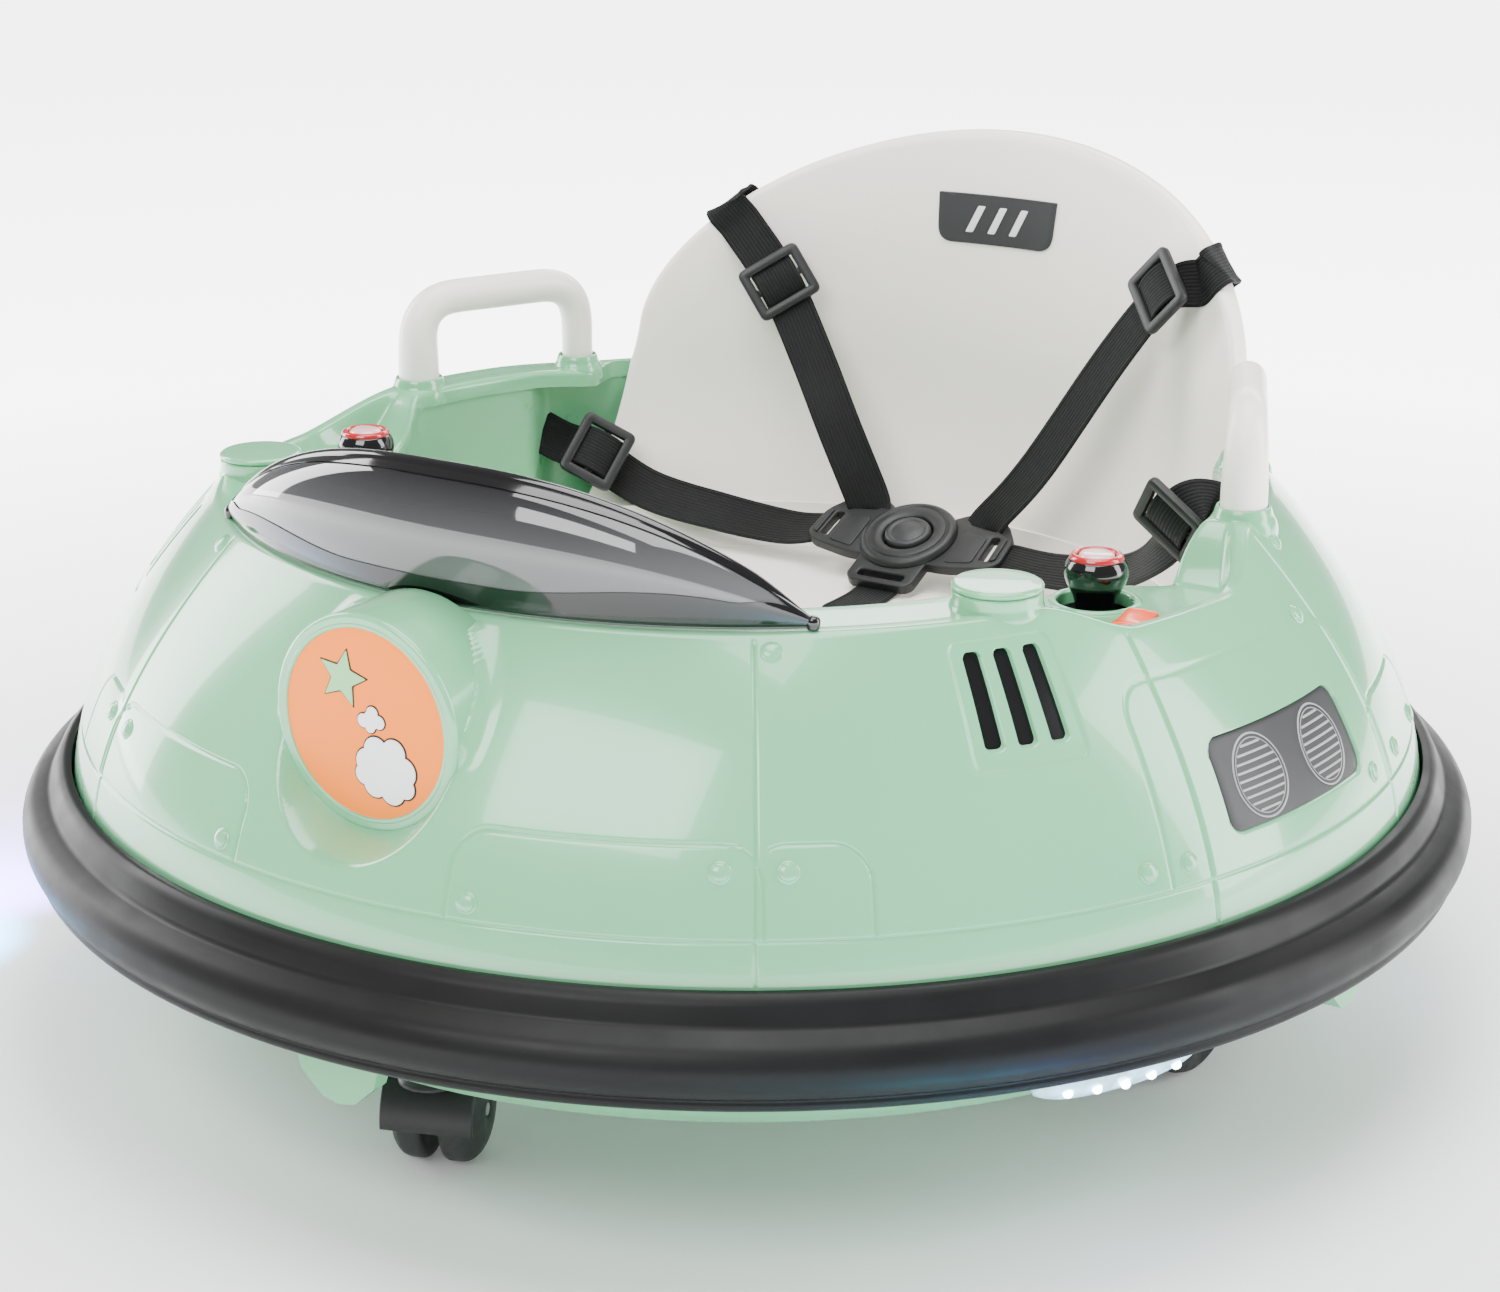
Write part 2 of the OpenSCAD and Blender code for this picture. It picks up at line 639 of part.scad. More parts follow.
// Flat web along a curve; ups gives the direction its upper face looks at each given point.
module web(points, ups) {
  p = curve(points, 4);
  u = curve(ups, 4);
  n = len(p);
  side = [for (i = [0:n - 1]) unit(cross3(p[min(i + 1, n - 1)] - p[max(i - 1, 0)], u[i]))];
  up = [for (i = [0:n - 1]) unit(cross3(side[i], p[min(i + 1, n - 1)] - p[max(i - 1, 0)]))];
  q = [for (i = [0:n - 1]) each [
    p[i] - side[i] * web_w / 2, p[i] + side[i] * web_w / 2,
    p[i] + side[i] * web_w / 2 + up[i] * web_t, p[i] - side[i] * web_w / 2 + up[i] * web_t]];
  polyhedron(points = q, faces = concat(
    [[0, 1, 2], [0, 2, 3]],
    [[4 * n - 4, 4 * n - 2, 4 * n - 3], [4 * n - 4, 4 * n - 1, 4 * n - 2]],
    [for (i = [0:n - 2]) for (k = [0:3]) each [
      [4 * i + k, 4 * i + 4 + k, 4 * i + 4 + (k + 1) % 4], [4 * i + k, 4 * i + 4 + (k + 1) % 4, 4 * i + (k + 1) % 4]]]));
}

module shoulder_straps() {
  color(black) {
    web([[-140, 212, 346], [-113, 213, 317], [-86, 203, 281], [-59, 190, 244], [-37, 185, 207]],
      [[0.4, -0.8, 0.3], [0.4, -0.8, 0.3], [0.3, -0.85, 0.4], [0.2, -0.8, 0.5], [0, -0.7, 0.7]]);
    web([[146, 205, 349], [127, 213, 338], [101, 206, 302], [66, 190, 240], [41, 187, 208]],
      [[-0.5, -0.8, 0.3], [-0.4, -0.8, 0.3], [-0.3, -0.85, 0.4], [-0.2, -0.8, 0.5], [0, -0.7, 0.7]]);
  }
}

module waist_straps() {
  color(black) {
    web([[-210, 131, 229], [-194, 141, 221], [-165, 155, 201], [-124, 167, 191], [-80, 169, 188], [-63, 169, 192]],
      [[0.7, -0.6, 0.4], [0.6, -0.6, 0.5], [0.4, -0.6, 0.6], [0.2, -0.6, 0.7], [0, -0.5, 0.8], [0, -0.41, 0.91]]);
    web([[222, 92, 250], [214, 86, 266], [200, 82, 261], [186, 95, 238], [143, 136, 206], [92, 158, 193], [63, 168, 192]],
      [[-0.7, 0.2, 0.2], [-0.5, -0.4, 0.8], [-0.8, -0.5, 0.3], [-0.7, -0.5, 0.4], [-0.4, -0.6, 0.7],
        [-0.1, -0.5, 0.8], [0, -0.41, 0.91]]);
  }
}

module crotch_strap() {
  color(black)
    web([[0, 141, 172.15], [0.5, 120, 172.15], [0, 98, 172.2]], [[0, 0, 1], [0, 0, 1], [0, 0, 1]]);
}

// Ladder slider that frames a strap: local X across the strap, local Z away from it.
module adjuster_one() {
  difference() {
    translate([-19, -16, 4.6]) cube([38, 32, 3.2]);
    translate([-13.5, -11.5, 0]) cube([27, 9.5, 10]);
    translate([-13.5, 2, 0]) cube([27, 9.5, 10]);
  }
  for (s = [-1, 1]) translate([s * 16.6 - 2.2, -14, 3]) cube([4.4, 28, 3]);
}

// Puts a slider at a point, with Z along up and Y along run_dir.
module place(p, up, run_dir) {
  x = unit(cross3(run_dir, up));
  y = unit(cross3(up, x));
  z = unit(up);
  multmatrix([[x[0], y[0], z[0], p[0]], [x[1], y[1], z[1], p[1]], [x[2], y[2], z[2], p[2]], [0, 0, 0, 1]]) children();
}

module strap_adjusters() {
  color(grey) {
    place([-113, 213, 317], [0.4, -0.8, 0.3], [-54, 9, 65]) adjuster_one();
    place([126.4, 211.6, 338.4], [-0.4, -0.8, 0.3], [45, -1, 47]) adjuster_one();
    place([-188.4, 136.6, 223], [0.6, -0.6, 0.5], [-45, -24, 28]) adjuster_one();
    place([198, 83, 258], [-0.8, -0.5, 0.3], [14, -9, 28]) adjuster_one();
  }
}

module at_buckle() {
  translate(buckle_p) rotate([buckle_tilt, 0, 0]) children();
}

module buckle_arm() {
  difference() {
    translate([0, 0, -4]) linear_extrude(height = 6)
      polygon([[18, -20], [30, -19], [56, -13], [60, -8], [58, 14], [50, 24], [26, 28], [18, 16]]);
    translate([48, -9, -6]) cube([4.5, 26, 12]);
    translate([29, 19, -6]) cube([22, 3.5, 12]);
  }
}

module buckle_hub() {
  color(black)
    at_buckle()
      difference() {
        union() {
          translate([0, 0, -5.5]) cylinder(h = 11.5, r = 27.5);
          buckle_arm();
          mirror([1, 0, 0]) buckle_arm();
          difference() {
            translate([-20, -40, -4]) cube([40, 24, 6]);
            translate([-14, -37, -6]) cube([28, 4, 12]);
          }
        }
        translate([0, 0, -4.5]) cylinder(h = 20, r = 14, $fn = 64);
      }
}

module buckle_button() {
  color(grey)
    at_buckle() translate([0, 0, -1]) rotate_extrude($fn = 64)
      polygon([[0, 0], [13.6, 0], [13.6, 7], [10, 8.4], [0, 9]]);
}

// ---------------------------------------------------------------- grab handles

module handle_one() {
  f = [foot_f[0], foot_f[1], grip_top];
  b = [foot_b[0], foot_b[1], grip_top - 1];
  bar([foot_f[0], foot_f[1], 275.3], f, bar_r + 2.5, bar_r + 0.5);
  bar([foot_b[0], foot_b[1], 275.3], b, bar_r + 0.5, bar_r);
  bar(f, b, bar_r + 0.5, bar_r);
  translate(f) sphere(r = bar_r + 1, $fn = 48);
  translate(b) sphere(r = bar_r + 0.5, $fn = 48);
  translate([foot_f[0], foot_f[1], 270]) cylinder(h = 6, r = 5, $fn = 24);
  translate([foot_b[0], foot_b[1], 270]) cylinder(h = 6, r = 5, $fn = 24);
}

module carry_handles() {
  color(cream) both_sides() handle_one();
}

// ---------------------------------------------------------------- electrics

module battery() {
  color(grey) {
    translate([-75, 28, tub_floor + 3.3]) cube([150, 95, 60]);
    for (s = [-1, 1]) translate([s * 62 - 3, 34, tub_floor + 63]) cube([6, 2, 8]);
  }
}

module control_board() {
  color([0.05, 0.3, 0.12])
    translate([-45, 130, tub_floor + 3.3]) {
      cube([90, 2, 48]);
      for (k = [-1, 1]) translate([45 + k * 24 - 8, 1.8, 14]) cube([16, 8, 20]);
    }
}

pod_ts = [62, 118];

module pod_lens_profile() {
  polygon([[314, 65.5], [325, 70], [332.5, 79], [334.2, 86], [329, 83], [321, 75], [313.5, 70.5]]);
}

module pod_board_profile() {
  polygon([[313.9, 71.9], [320.6, 76.2], [328, 83.8], [327, 84.9], [319.7, 77.5], [313.4, 73]]);
}

// Pocket for the lens and its board, open at the outside of the housing.
module pod_pocket_profile() {
  polygon([[312.9, 60], [345, 60], [345, 86.3], [331, 86.3], [326.8, 85.3], [319.4, 77.9], [312.9, 73.4]]);
}

module led_housings() {
  color(mint)
    both_sides() for (t = pod_ts)
      difference() {
        sector(t - 8.7, t + 8.7)
          polygon([[305.8, 67.3], [314, 65.5], [325, 70], [332.5, 79], [335.6, 94], [330.5, 94]]);
        sector(t - 8.1, t + 8.1) pod_pocket_profile();
      }
}

module led_lenses() {
  color([0.8, 0.93, 1, 0.5])
    both_sides() for (t = pod_ts) sector(t - 8.05, t + 8.05) pod_lens_profile();
}

module led_boards() {
  color([0.1, 0.4, 0.5])
    both_sides() for (t = pod_ts) sector(t - 7.5, t + 7.5) pod_board_profile();
}

// ---------------------------------------------------------------- casters

// Places a caster drawn at the origin with its wheels trailing toward +Y.
module at_caster(s) {
  translate([0, s * caster_y, 0]) rotate([0, 0, s < 0 ? swivel_front : swivel_back]) children();
}

module along_x(x0, x1, r) {
  translate([x0, trail, caster_r]) rotate([0, 90, 0]) cylinder(h = x1 - x0, r = r, $fn = 64);
}

module hood_one() {
  difference() {
    union() {
      difference() {
        along_x(-22, 22, caster_r + 3.5);
        translate([-30, -60, -40]) cube([60, 120, caster_r + 40 - 1]);
      }
      along_x(-2.7, 2.7, 12);
      translate([0, 0, 42]) cylinder(h = chassis_z - 0.8 - 42, r = 11, $fn = 64);
    }
    difference() {
      along_x(-24, 24, caster_r + 1);
      along_x(-2.7, 2.7, caster_r + 3);
    }
    along_x(-24, 24, 3 + run);
    translate([0, 0, 50]) cylinder(h = 20, r = stem_r + 0.02, $fn = 48);
  }
}

module stem_one() {
  translate([0, 0, 50.2]) cylinder(h = 41, r = stem_r);
}

module wheel_one() {
  translate([3.7, trail, caster_r]) rotate([0, 90, 0])
    rotate_extrude() polygon([[3.02, 0], [caster_r - 1.5, 0], [caster_r, 1.5], [caster_r, 12], [caster_r - 1.8, 15],
      [caster_r - 5, 17], [10, 17.8], [3.02, 17.8]]);
}

module wheels_one() {
  wheel_one();
  mirror([1, 0, 0]) wheel_one();
}

module front_caster_hood() {
  color(black) at_caster(-1) hood_one();
}

module front_caster_stem() {
  color(steel) at_caster(-1) stem_one();
}

module front_caster_wheels() {
  color(black) at_caster(-1) wheels_one();
}

module front_caster_axle() {
  color(steel) at_caster(-1) along_x(-21, 21, 3);
}

module rear_caster_hood() {
  color(black) at_caster(1) hood_one();
}

module rear_caster_stem() {
  color(steel) at_caster(1) stem_one();
}

module rear_caster_wheels() {
  color(black) at_caster(1) wheels_one();
}

module rear_caster_axle() {
  color(steel) at_caster(1) along_x(-21, 21, 3);
}

// ---------------------------------------------------------------- drive units

// Turns a shape drawn in the plane of the gears so that it lies across the car, from x0, at the gear centre.
module across(x0, y, h) {
  translate([x0, y, axle_z]) rotate([90, 0, 90]) linear_extrude(height = h) children();
}

// Gear outline with straight-sided teeth; a tooth points along +X at phase 0.
module gear_2d(n, phase) {
  pitch_r = gear_m * n / 2;
  root = pitch_r - 1.7;
  circle(r = root);
  for (i = [0:n - 1]) rotate(phase + i * 360 / n)
    polygon([[root - 0.5, -1.55], [pitch_r, -0.95], [pitch_r + 1.1, -0.45], [pitch_r + 1.1, 0.45], [pitch_r, 0.95],
      [root - 0.5, 1.55]]);
}

module gearbox_2d(shrink) {
  circle(r = 41 - shrink);
  translate([gear_dist, 0]) circle(r = 14.5 - shrink);
  polygon([[0, 41 - shrink], [gear_dist, 14.5 - shrink], [gear_dist, shrink - 14.5], [0, shrink - 41]]);
}

module gearbox_one() {
  difference() {
    union() {
      across(box_x0, drive_y, box_x1 - box_x0) gearbox_2d(0);
      translate([box_x0 + 4, drive_y - 12, axle_z + 38]) cube([16, 24, 131.5 - axle_z - 38]);
    }
    across(box_x0 + 2.5, drive_y, box_x1 - box_x0 - 5) gearbox_2d(2.5);
    across(box_x0 - 1, drive_y, 30) circle(r = axle_r + run, $fn = 48);
    across(box_x0 - 1, drive_y + gear_dist, 30) circle(r = 2 + run, $fn = 32);
  }
}

module gearbox_shells() {
  color(black) both_sides() gearbox_one();
}

module drive_motors() {
  color(steel)
    both_sides() difference() {
      across(motor_x0, drive_y + gear_dist, box_x0 - motor_x0 - 0.3) circle(r = motor_r);
      across(motor_x0 + 7, drive_y + gear_dist, 40) circle(r = 2 + run, $fn = 32);
    }
}

module pinion_one() {
  across(motor_x0 + 8, drive_y + gear_dist, box_x1 - motor_x0 - 9) circle(r = 2, $fn = 32);
  across(198.5, drive_y + gear_dist, 9) gear_2d(pinion_n, 15);
}

module right_pinion() {
  color(steel) pinion_one();
}

module left_pinion() {
  color(steel) mirror([1, 0, 0]) pinion_one();
}

module gear_one() {
  across(199, drive_y, 8) difference() {
    gear_2d(gear_n, 0);
    circle(r = axle_r + 0.02, $fn = 48);
  }
}

module right_gear() {
  color(cream) gear_one();
}

module left_gear() {
  color(cream) mirror([1, 0, 0]) gear_one();
}

module axle_one() {
  across(box_x0 + 0.5, drive_y, drive_x + wheel_w / 2 - box_x0) circle(r = axle_r, $fn = 48);
}

module right_axle() {
  color(steel) axle_one();
}

module left_axle() {
  color(steel) mirror([1, 0, 0]) axle_one();
}

module wheel_turned() {
  translate([drive_x - wheel_w / 2, drive_y, axle_z]) rotate([0, 90, 0]) rotate_extrude() children();
}

module hub_one() {
  difference() {
    wheel_turned() polygon([[axle_r + 0.02, 1], [10, 1], [10, 12], [wheel_r - 16, 12], [wheel_r - 16, 0.5],
      [wheel_r - 12.1, 0.5], [wheel_r - 12.1, wheel_w - 0.5], [wheel_r - 16, wheel_w - 0.5], [wheel_r - 16, 20],
      [10, 20], [10, wheel_w - 1], [axle_r + 0.02, wheel_w - 1]]);
    for (k = [0:4]) translate([0, drive_y, axle_z]) rotate([k * 72, 0, 0])
      translate([drive_x - wheel_w / 2, 0, 28]) rotate([0, 90, 0]) cylinder(h = wheel_w, r = 8, $fn = 32);
  }
}

module right_hub() {
  color(black) hub_one();
}

module left_hub() {
  color(black) mirror([1, 0, 0]) hub_one();
}

module tyre_one() {
  w = wheel_w;
  r = wheel_r;
  wheel_turned() polygon([[r - 12, 0], [r - 4, 0], [r - 1, 1.5], [r, 4.5], [r, w / 2 - 6], [r - 1.5, w / 2 - 5.5],
    [r - 1.5, w / 2 - 3.5], [r, w / 2 - 3], [r, w / 2 + 3], [r - 1.5, w / 2 + 3.5], [r - 1.5, w / 2 + 5.5],
    [r, w / 2 + 6], [r, w - 4.5], [r - 1, w - 1.5], [r - 4, w], [r - 12, w]]);
}

module right_tyre() {
  color(black) tyre_one();
}

module left_tyre() {
  color(black) mirror([1, 0, 0]) tyre_one();
}

lower_chassis();
cockpit_tub();
upper_body();
bumper_ring();
windshield();
windshield_trim();
badge_face();
badge_ring();
cap_lids();
vent_inserts();
lamp_panels();
lamp_grilles();
speakers();
stick_bases();
left_stick();
right_stick();
left_stick_ring();
right_stick_ring();
left_stick_button();
right_stick_button();
rocker_bezel();
rocker();
seat_shell();
seat_label();
shoulder_straps();
waist_straps();
crotch_strap();
strap_adjusters();
buckle_hub();
buckle_button();
carry_handles();
battery();
control_board();
charging_inlet();
led_housings();
led_lenses();
led_boards();
front_caster_hood();
front_caster_stem();
front_caster_wheels();
front_caster_axle();
rear_caster_hood();
rear_caster_stem();
rear_caster_wheels();
rear_caster_axle();
gearbox_shells();
drive_motors();
left_pinion();
right_pinion();
left_gear();
right_gear();
left_axle();
right_axle();
left_hub();
right_hub();
left_tyre();
right_tyre();
chassis_screws();
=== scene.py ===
import json
import math
import bmesh
import bpy
import numpy as np
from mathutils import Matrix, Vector

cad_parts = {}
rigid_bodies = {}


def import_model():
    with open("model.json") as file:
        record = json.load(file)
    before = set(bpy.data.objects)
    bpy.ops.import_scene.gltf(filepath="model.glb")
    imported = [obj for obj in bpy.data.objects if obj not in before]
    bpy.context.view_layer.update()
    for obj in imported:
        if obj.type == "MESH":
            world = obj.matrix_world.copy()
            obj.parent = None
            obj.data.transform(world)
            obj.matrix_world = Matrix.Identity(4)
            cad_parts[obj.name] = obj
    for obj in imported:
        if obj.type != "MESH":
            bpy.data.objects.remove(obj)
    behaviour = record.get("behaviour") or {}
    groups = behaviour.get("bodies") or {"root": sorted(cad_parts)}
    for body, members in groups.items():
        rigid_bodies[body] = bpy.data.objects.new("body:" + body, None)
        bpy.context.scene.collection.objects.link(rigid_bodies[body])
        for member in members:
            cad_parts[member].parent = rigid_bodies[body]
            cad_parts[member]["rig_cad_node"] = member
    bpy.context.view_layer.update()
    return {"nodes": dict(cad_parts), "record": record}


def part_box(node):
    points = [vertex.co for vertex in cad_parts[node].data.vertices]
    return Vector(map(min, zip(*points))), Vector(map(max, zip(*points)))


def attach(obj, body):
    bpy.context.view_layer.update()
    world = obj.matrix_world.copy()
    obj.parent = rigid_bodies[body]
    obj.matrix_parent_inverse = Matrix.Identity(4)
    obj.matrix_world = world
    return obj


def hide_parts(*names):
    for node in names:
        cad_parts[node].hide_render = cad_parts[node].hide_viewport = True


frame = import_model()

# Lengths in this script are millimetres until a mesh is made.
MM = 0.001


def node_box(name):
    lo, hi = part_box(name)
    return np.array(lo) / MM, np.array(hi) / MM


# ------------------------------------------------------------------ numbers and curves

def smooth(a, b, x):
    t = np.clip((np.asarray(x, float) - a) / (b - a), 0.0, 1.0)
    return t * t * (3 - 2 * t)


def unit(v):
    v = np.asarray(v, float)
    return v / np.maximum(np.linalg.norm(v, axis=-1, keepdims=True), 1e-12)


def polar(t, r, z):
    """Points from degrees round the car (0 in front, growing toward +X), a radius and a height."""
    a = np.radians(t)
    return np.stack(np.broadcast_arrays(r * np.sin(a), -r * np.cos(a), z), -1).astype(float)


def rounded(points, radius, n=5, closed=True):
    """A 2-D outline with each corner rounded; radius is one number or one for each corner."""
    p = [np.array(q, float) for q in points]
    rs = radius if hasattr(radius, "__len__") else [radius] * len(p)
    out = []
    for i, q in enumerate(p):
        if not closed and i in (0, len(p) - 1):
            out.append(q)
            continue
        a, b = p[i - 1], p[(i + 1) % len(p)]
        la, lb = np.linalg.norm(a - q), np.linalg.norm(b - q)
        r = min(rs[i], 0.48 * la, 0.48 * lb)
        if r < 1e-3:
            out.append(q)
            continue
        s, e = q + (a - q) / la * r, q + (b - q) / lb * r
        for k in range(n + 1):
            u = k / n
            out.append((1 - u) ** 2 * s + 2 * u * (1 - u) * q + u * u * e)
    return np.array(out)


def chaikin(p, times=3):
    """Corner cutting along the second axis of an array of polylines, which keeps the ends."""
    for _ in range(times):
        a, b = p[:, :-1], p[:, 1:]
        q = np.stack([0.75 * a + 0.25 * b, 0.25 * a + 0.75 * b], 2).reshape(len(p), -1, p.shape[-1])
        p = np.concatenate([p[:, :1], q[:, 1:-1], p[:, -1:]], 1)
    return p


def catmull(points, k):
    """Smooth curve through points, each span cut into k steps."""
    p = np.asarray(points, float)
    out = []
    for i in range(len(p) - 1):
        a, b, c, d = p[max(i - 1, 0)], p[i], p[i + 1], p[min(i + 2, len(p) - 1)]
        for j in range(k + (i == len(p) - 2)):
            t = j / k
            out.append(0.5 * (2 * b + (c - a) * t + (2 * a - 5 * b + 4 * c - d) * t * t
                              + (3 * b - a - 3 * c + d) * t ** 3))
    return np.array(out)


# ------------------------------------------------------------------ meshes

def quads(nu, nv, wrap_u=False, wrap_v=False, base=0):
    i = np.arange(nu if wrap_u else nu - 1)
    j = np.arange(nv if wrap_v else nv - 1)
    i, j = np.meshgrid(i, j, indexing="ij")
    a, b = i * nv + j, ((i + 1) % nu) * nv + j
    c, d = ((i + 1) % nu) * nv + (j + 1) % nv, i * nv + (j + 1) % nv
    return (np.stack([a, b, c, d], -1).reshape(-1, 4) + base).tolist()


def piece(name, verts, faces, mat, body="car", slot=None, nodes=(), sharp=32, weld=True):
    """Makes a mesh object from points in millimetres, cleans it, and hangs it on a CAD body."""
    me = bpy.data.meshes.new(name)
    me.from_pydata((np.asarray(verts, float).reshape(-1, 3) * MM).tolist(), [], faces)
    if weld:
        bm = bmesh.new()
        bm.from_mesh(me)
        bmesh.ops.remove_doubles(bm, verts=bm.verts, dist=2e-6)
        bmesh.ops.dissolve_degenerate(bm, dist=1e-6, edges=bm.edges)
        bmesh.ops.recalc_face_normals(bm, faces=bm.faces)
        bm.to_mesh(me)
        bm.free()
    me.shade_smooth()
    me.set_sharp_from_angle(angle=math.radians(sharp))
    me.materials.append(mat)
    ob = bpy.data.objects.new(name, me)
    bpy.context.scene.collection.objects.link(ob)
    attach(ob, body)
    if nodes:
        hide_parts(*nodes)
    return ob


def bevel(ob, width, segments=3, angle=30):
    """Rounds the edges of a piece; a CAD node's faces are welded first, since each is stored on its own."""
    if "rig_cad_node" in ob:
        weld = ob.modifiers.new("weld", "WELD")
        weld.merge_threshold = 2e-6
    m = ob.modifiers.new("bevel", "BEVEL")
    m.width = width * MM
    m.segments = segments
    m.limit_method = "ANGLE"
    m.angle_limit = math.radians(angle)
    m.harden_normals = True
    return ob


class Parts:
    """Collects several shells into one mesh."""

    def __init__(self):
        self.v, self.f, self.n = [], [], 0

    def add(self, verts, faces):
        verts = np.asarray(verts, float).reshape(-1, 3)
        self.v.append(verts)
        self.f += [[i + self.n for i in f] for f in faces]
        self.n += len(verts)
        return self

    def mirrored(self):
        """Adds the same again on the other side of the car."""
        v = np.concatenate(self.v) * [-1, 1, 1]
        f = [list(reversed(q)) for q in self.f]
        return self.add(v, f)

    def make(self, name, mat, **kw):
        return piece(name, np.concatenate(self.v), self.f, mat, **kw)


def loft(rings, cap=True, closed=False):
    """Quads between rings of points, with end caps unless the rings close on themselves."""
    rings = np.asarray(rings, float)
    nu, nv = rings.shape[:2]
    f = quads(nu, nv, wrap_u=closed, wrap_v=True)
    if cap and not closed:
        f.append(list(range(nv))[::-1])
        f.append(list(range((nu - 1) * nv, nu * nv)))
    return rings.reshape(-1, 3), f


def revolve(profile, n=96, centre=(0, 0)):
    """Turns a closed (radius, height) outline about a vertical axis."""
    prof = np.asarray(profile, float)
    t = np.arange(n) * 360.0 / n
    rings = polar(t[:, None], prof[None, :, 0], prof[None, :, 1])
    return loft(rings + np.array([centre[0], centre[1], 0.0]), closed=True)


def sweep(path, ups, section, scale=None):
    """Sweeps a closed 2-D section along a path; section x lies across the path and section y along ups."""
    path, ups = np.asarray(path, float), np.asarray(ups, float)
    tan = np.gradient(path, axis=0)
    side = unit(np.cross(tan, ups))
    up = unit(np.cross(side, tan))
    sec = np.asarray(section, float)
    s = np.ones(len(path)) if scale is None else np.asarray(scale, float)
    rings = (path[:, None] + side[:, None] * sec[None, :, :1] * s[:, None, None]
             + up[:, None] * sec[None, :, 1:] * s[:, None, None])
    return loft(rings)


def level(outline, z):
    """A 2-D outline as 3-D points at one height."""
    return np.c_[outline, np.full(len(outline), z)]


def soft_prism(outline, z0, z1, edge=0.8, n=3):
    """Prism whose top and bottom edges are rounded by shrinking the outline toward its middle."""
    o = np.asarray(outline, float)
    nxt, prv = np.roll(o, -1, 0), np.roll(o, 1, 0)
    d = unit(nxt - prv)
    nrm = np.stack([-d[:, 1], d[:, 0]], -1)
    area = 0.5 * np.sum(o[:, 0] * nxt[:, 1] - o[:, 1] * nxt[:, 0])
    inward = nrm if area > 0 else -nrm
    turn = [math.radians(90 * k / n) for k in range(n + 1)]
    rows = [(a, z0 + edge * (1 - math.cos(a))) for a in turn]
    rows += [(a, z1 - edge * (1 - math.cos(a))) for a in turn[::-1]]
    return loft([level(o + inward * edge * (1 - math.sin(a)), z) for a, z in rows])


def placed(vf, origin, x, y, z):
    """Moves points drawn in local axes to a place on the car."""
    v, f = vf
    m = np.stack([unit(x), unit(y), unit(z)])
    return np.asarray(v, float) @ m + np.array(origin, float), f


def circle(r, n=48):
    a = np.arange(n) * 2 * math.pi / n
    return np.stack([r * np.cos(a), r * np.sin(a)], -1)


def dense(outline, step):
    """The same closed outline with its long sides cut into short ones."""
    out = []
    o = np.asarray(outline, float)
    for p, q in zip(o, np.roll(o, -1, 0)):
        n = max(1, int(np.ceil(np.linalg.norm(q - p) / step)))
        out += [p + (q - p) * i / n for i in range(n)]
    return np.array(out)


def subdivided(path, step):
    """The same open path with its long spans cut into short ones."""
    out = [path[0]]
    for a, b in zip(path[:-1], path[1:]):
        n = max(1, int(np.linalg.norm(b - a) / step))
        out += [a + (b - a) * (i + 1) / n for i in range(n)]
    return np.array(out)


def relaxed(path, times):
    """Averages the inner points of a path with their neighbours."""
    for _ in range(times):
        path[1:-1] = 0.25 * path[:-2] + 0.5 * path[1:-1] + 0.25 * path[2:]
    return path


def length_along(path):
    return np.concatenate([[0], np.cumsum(np.linalg.norm(np.diff(path, axis=0), axis=1))])


def line_rows(rows):
    """Polylines side by side, from (radius, height) pairs that may be numbers or arrays."""
    flat = np.broadcast_arrays(*[n for row in rows for n in row])
    return np.stack([np.stack([r, z], -1) for r, z in zip(flat[::2], flat[1::2])], 1)


def rounded_rect(w, h, r, n=6):
    return rounded([[-w / 2, -h / 2], [w / 2, -h / 2], [w / 2, h / 2], [-w / 2, h / 2]], r, n)


# ------------------------------------------------------------------ materials

def nodes_of(name):
    mat = bpy.data.materials.new(name)
    mat.use_nodes = True
    nt = mat.node_tree
    return mat, nt, nt.nodes["Principled BSDF"]


def link(nt, a, b):
    nt.links.new(a, b)


def coords(nt, scale=(1, 1, 1)):
    tc = nt.nodes.new("ShaderNodeTexCoord")
    mp = nt.nodes.new("ShaderNodeMapping")
    mp.inputs["Scale"].default_value = scale
    link(nt, tc.outputs["Object"], mp.inputs["Vector"])
    return mp.outputs["Vector"]


def noise(nt, vec, scale, detail=3.0, rough=0.55):
    n = nt.nodes.new("ShaderNodeTexNoise")
    n.inputs["Scale"].default_value = scale
    n.inputs["Detail"].default_value = detail
    n.inputs["Roughness"].default_value = rough
    link(nt, vec, n.inputs["Vector"])
    return n.outputs["Fac"]


def remap(nt, value, a, b, c, d):
    m = nt.nodes.new("ShaderNodeMapRange")
    m.inputs["From Min"].default_value = a
    m.inputs["From Max"].default_value = b
    m.inputs["To Min"].default_value = c
    m.inputs["To Max"].default_value = d
    link(nt, value, m.inputs["Value"])
    return m.outputs["Result"]


def math_node(nt, op, a, b=None):
    m = nt.nodes.new("ShaderNodeMath")
    m.operation = op
    for i, v in enumerate((a, b)):
        if v is None:
            continue
        if isinstance(v, (int, float)):
            m.inputs[i].default_value = v
        else:
            link(nt, v, m.inputs[i])
    return m.outputs["Value"]


def blend_colour(nt, fac, a, b):
    m = nt.nodes.new("ShaderNodeMix")
    m.data_type = "RGBA"
    if isinstance(fac, (int, float)):
        m.inputs[0].default_value = fac
    else:
        link(nt, fac, m.inputs[0])
    for i, v in ((6, a), (7, b)):
        if isinstance(v, (tuple, list)):
            m.inputs[i].default_value = (*v[:3], 1)
        else:
            link(nt, v, m.inputs[i])
    return m.outputs[2]


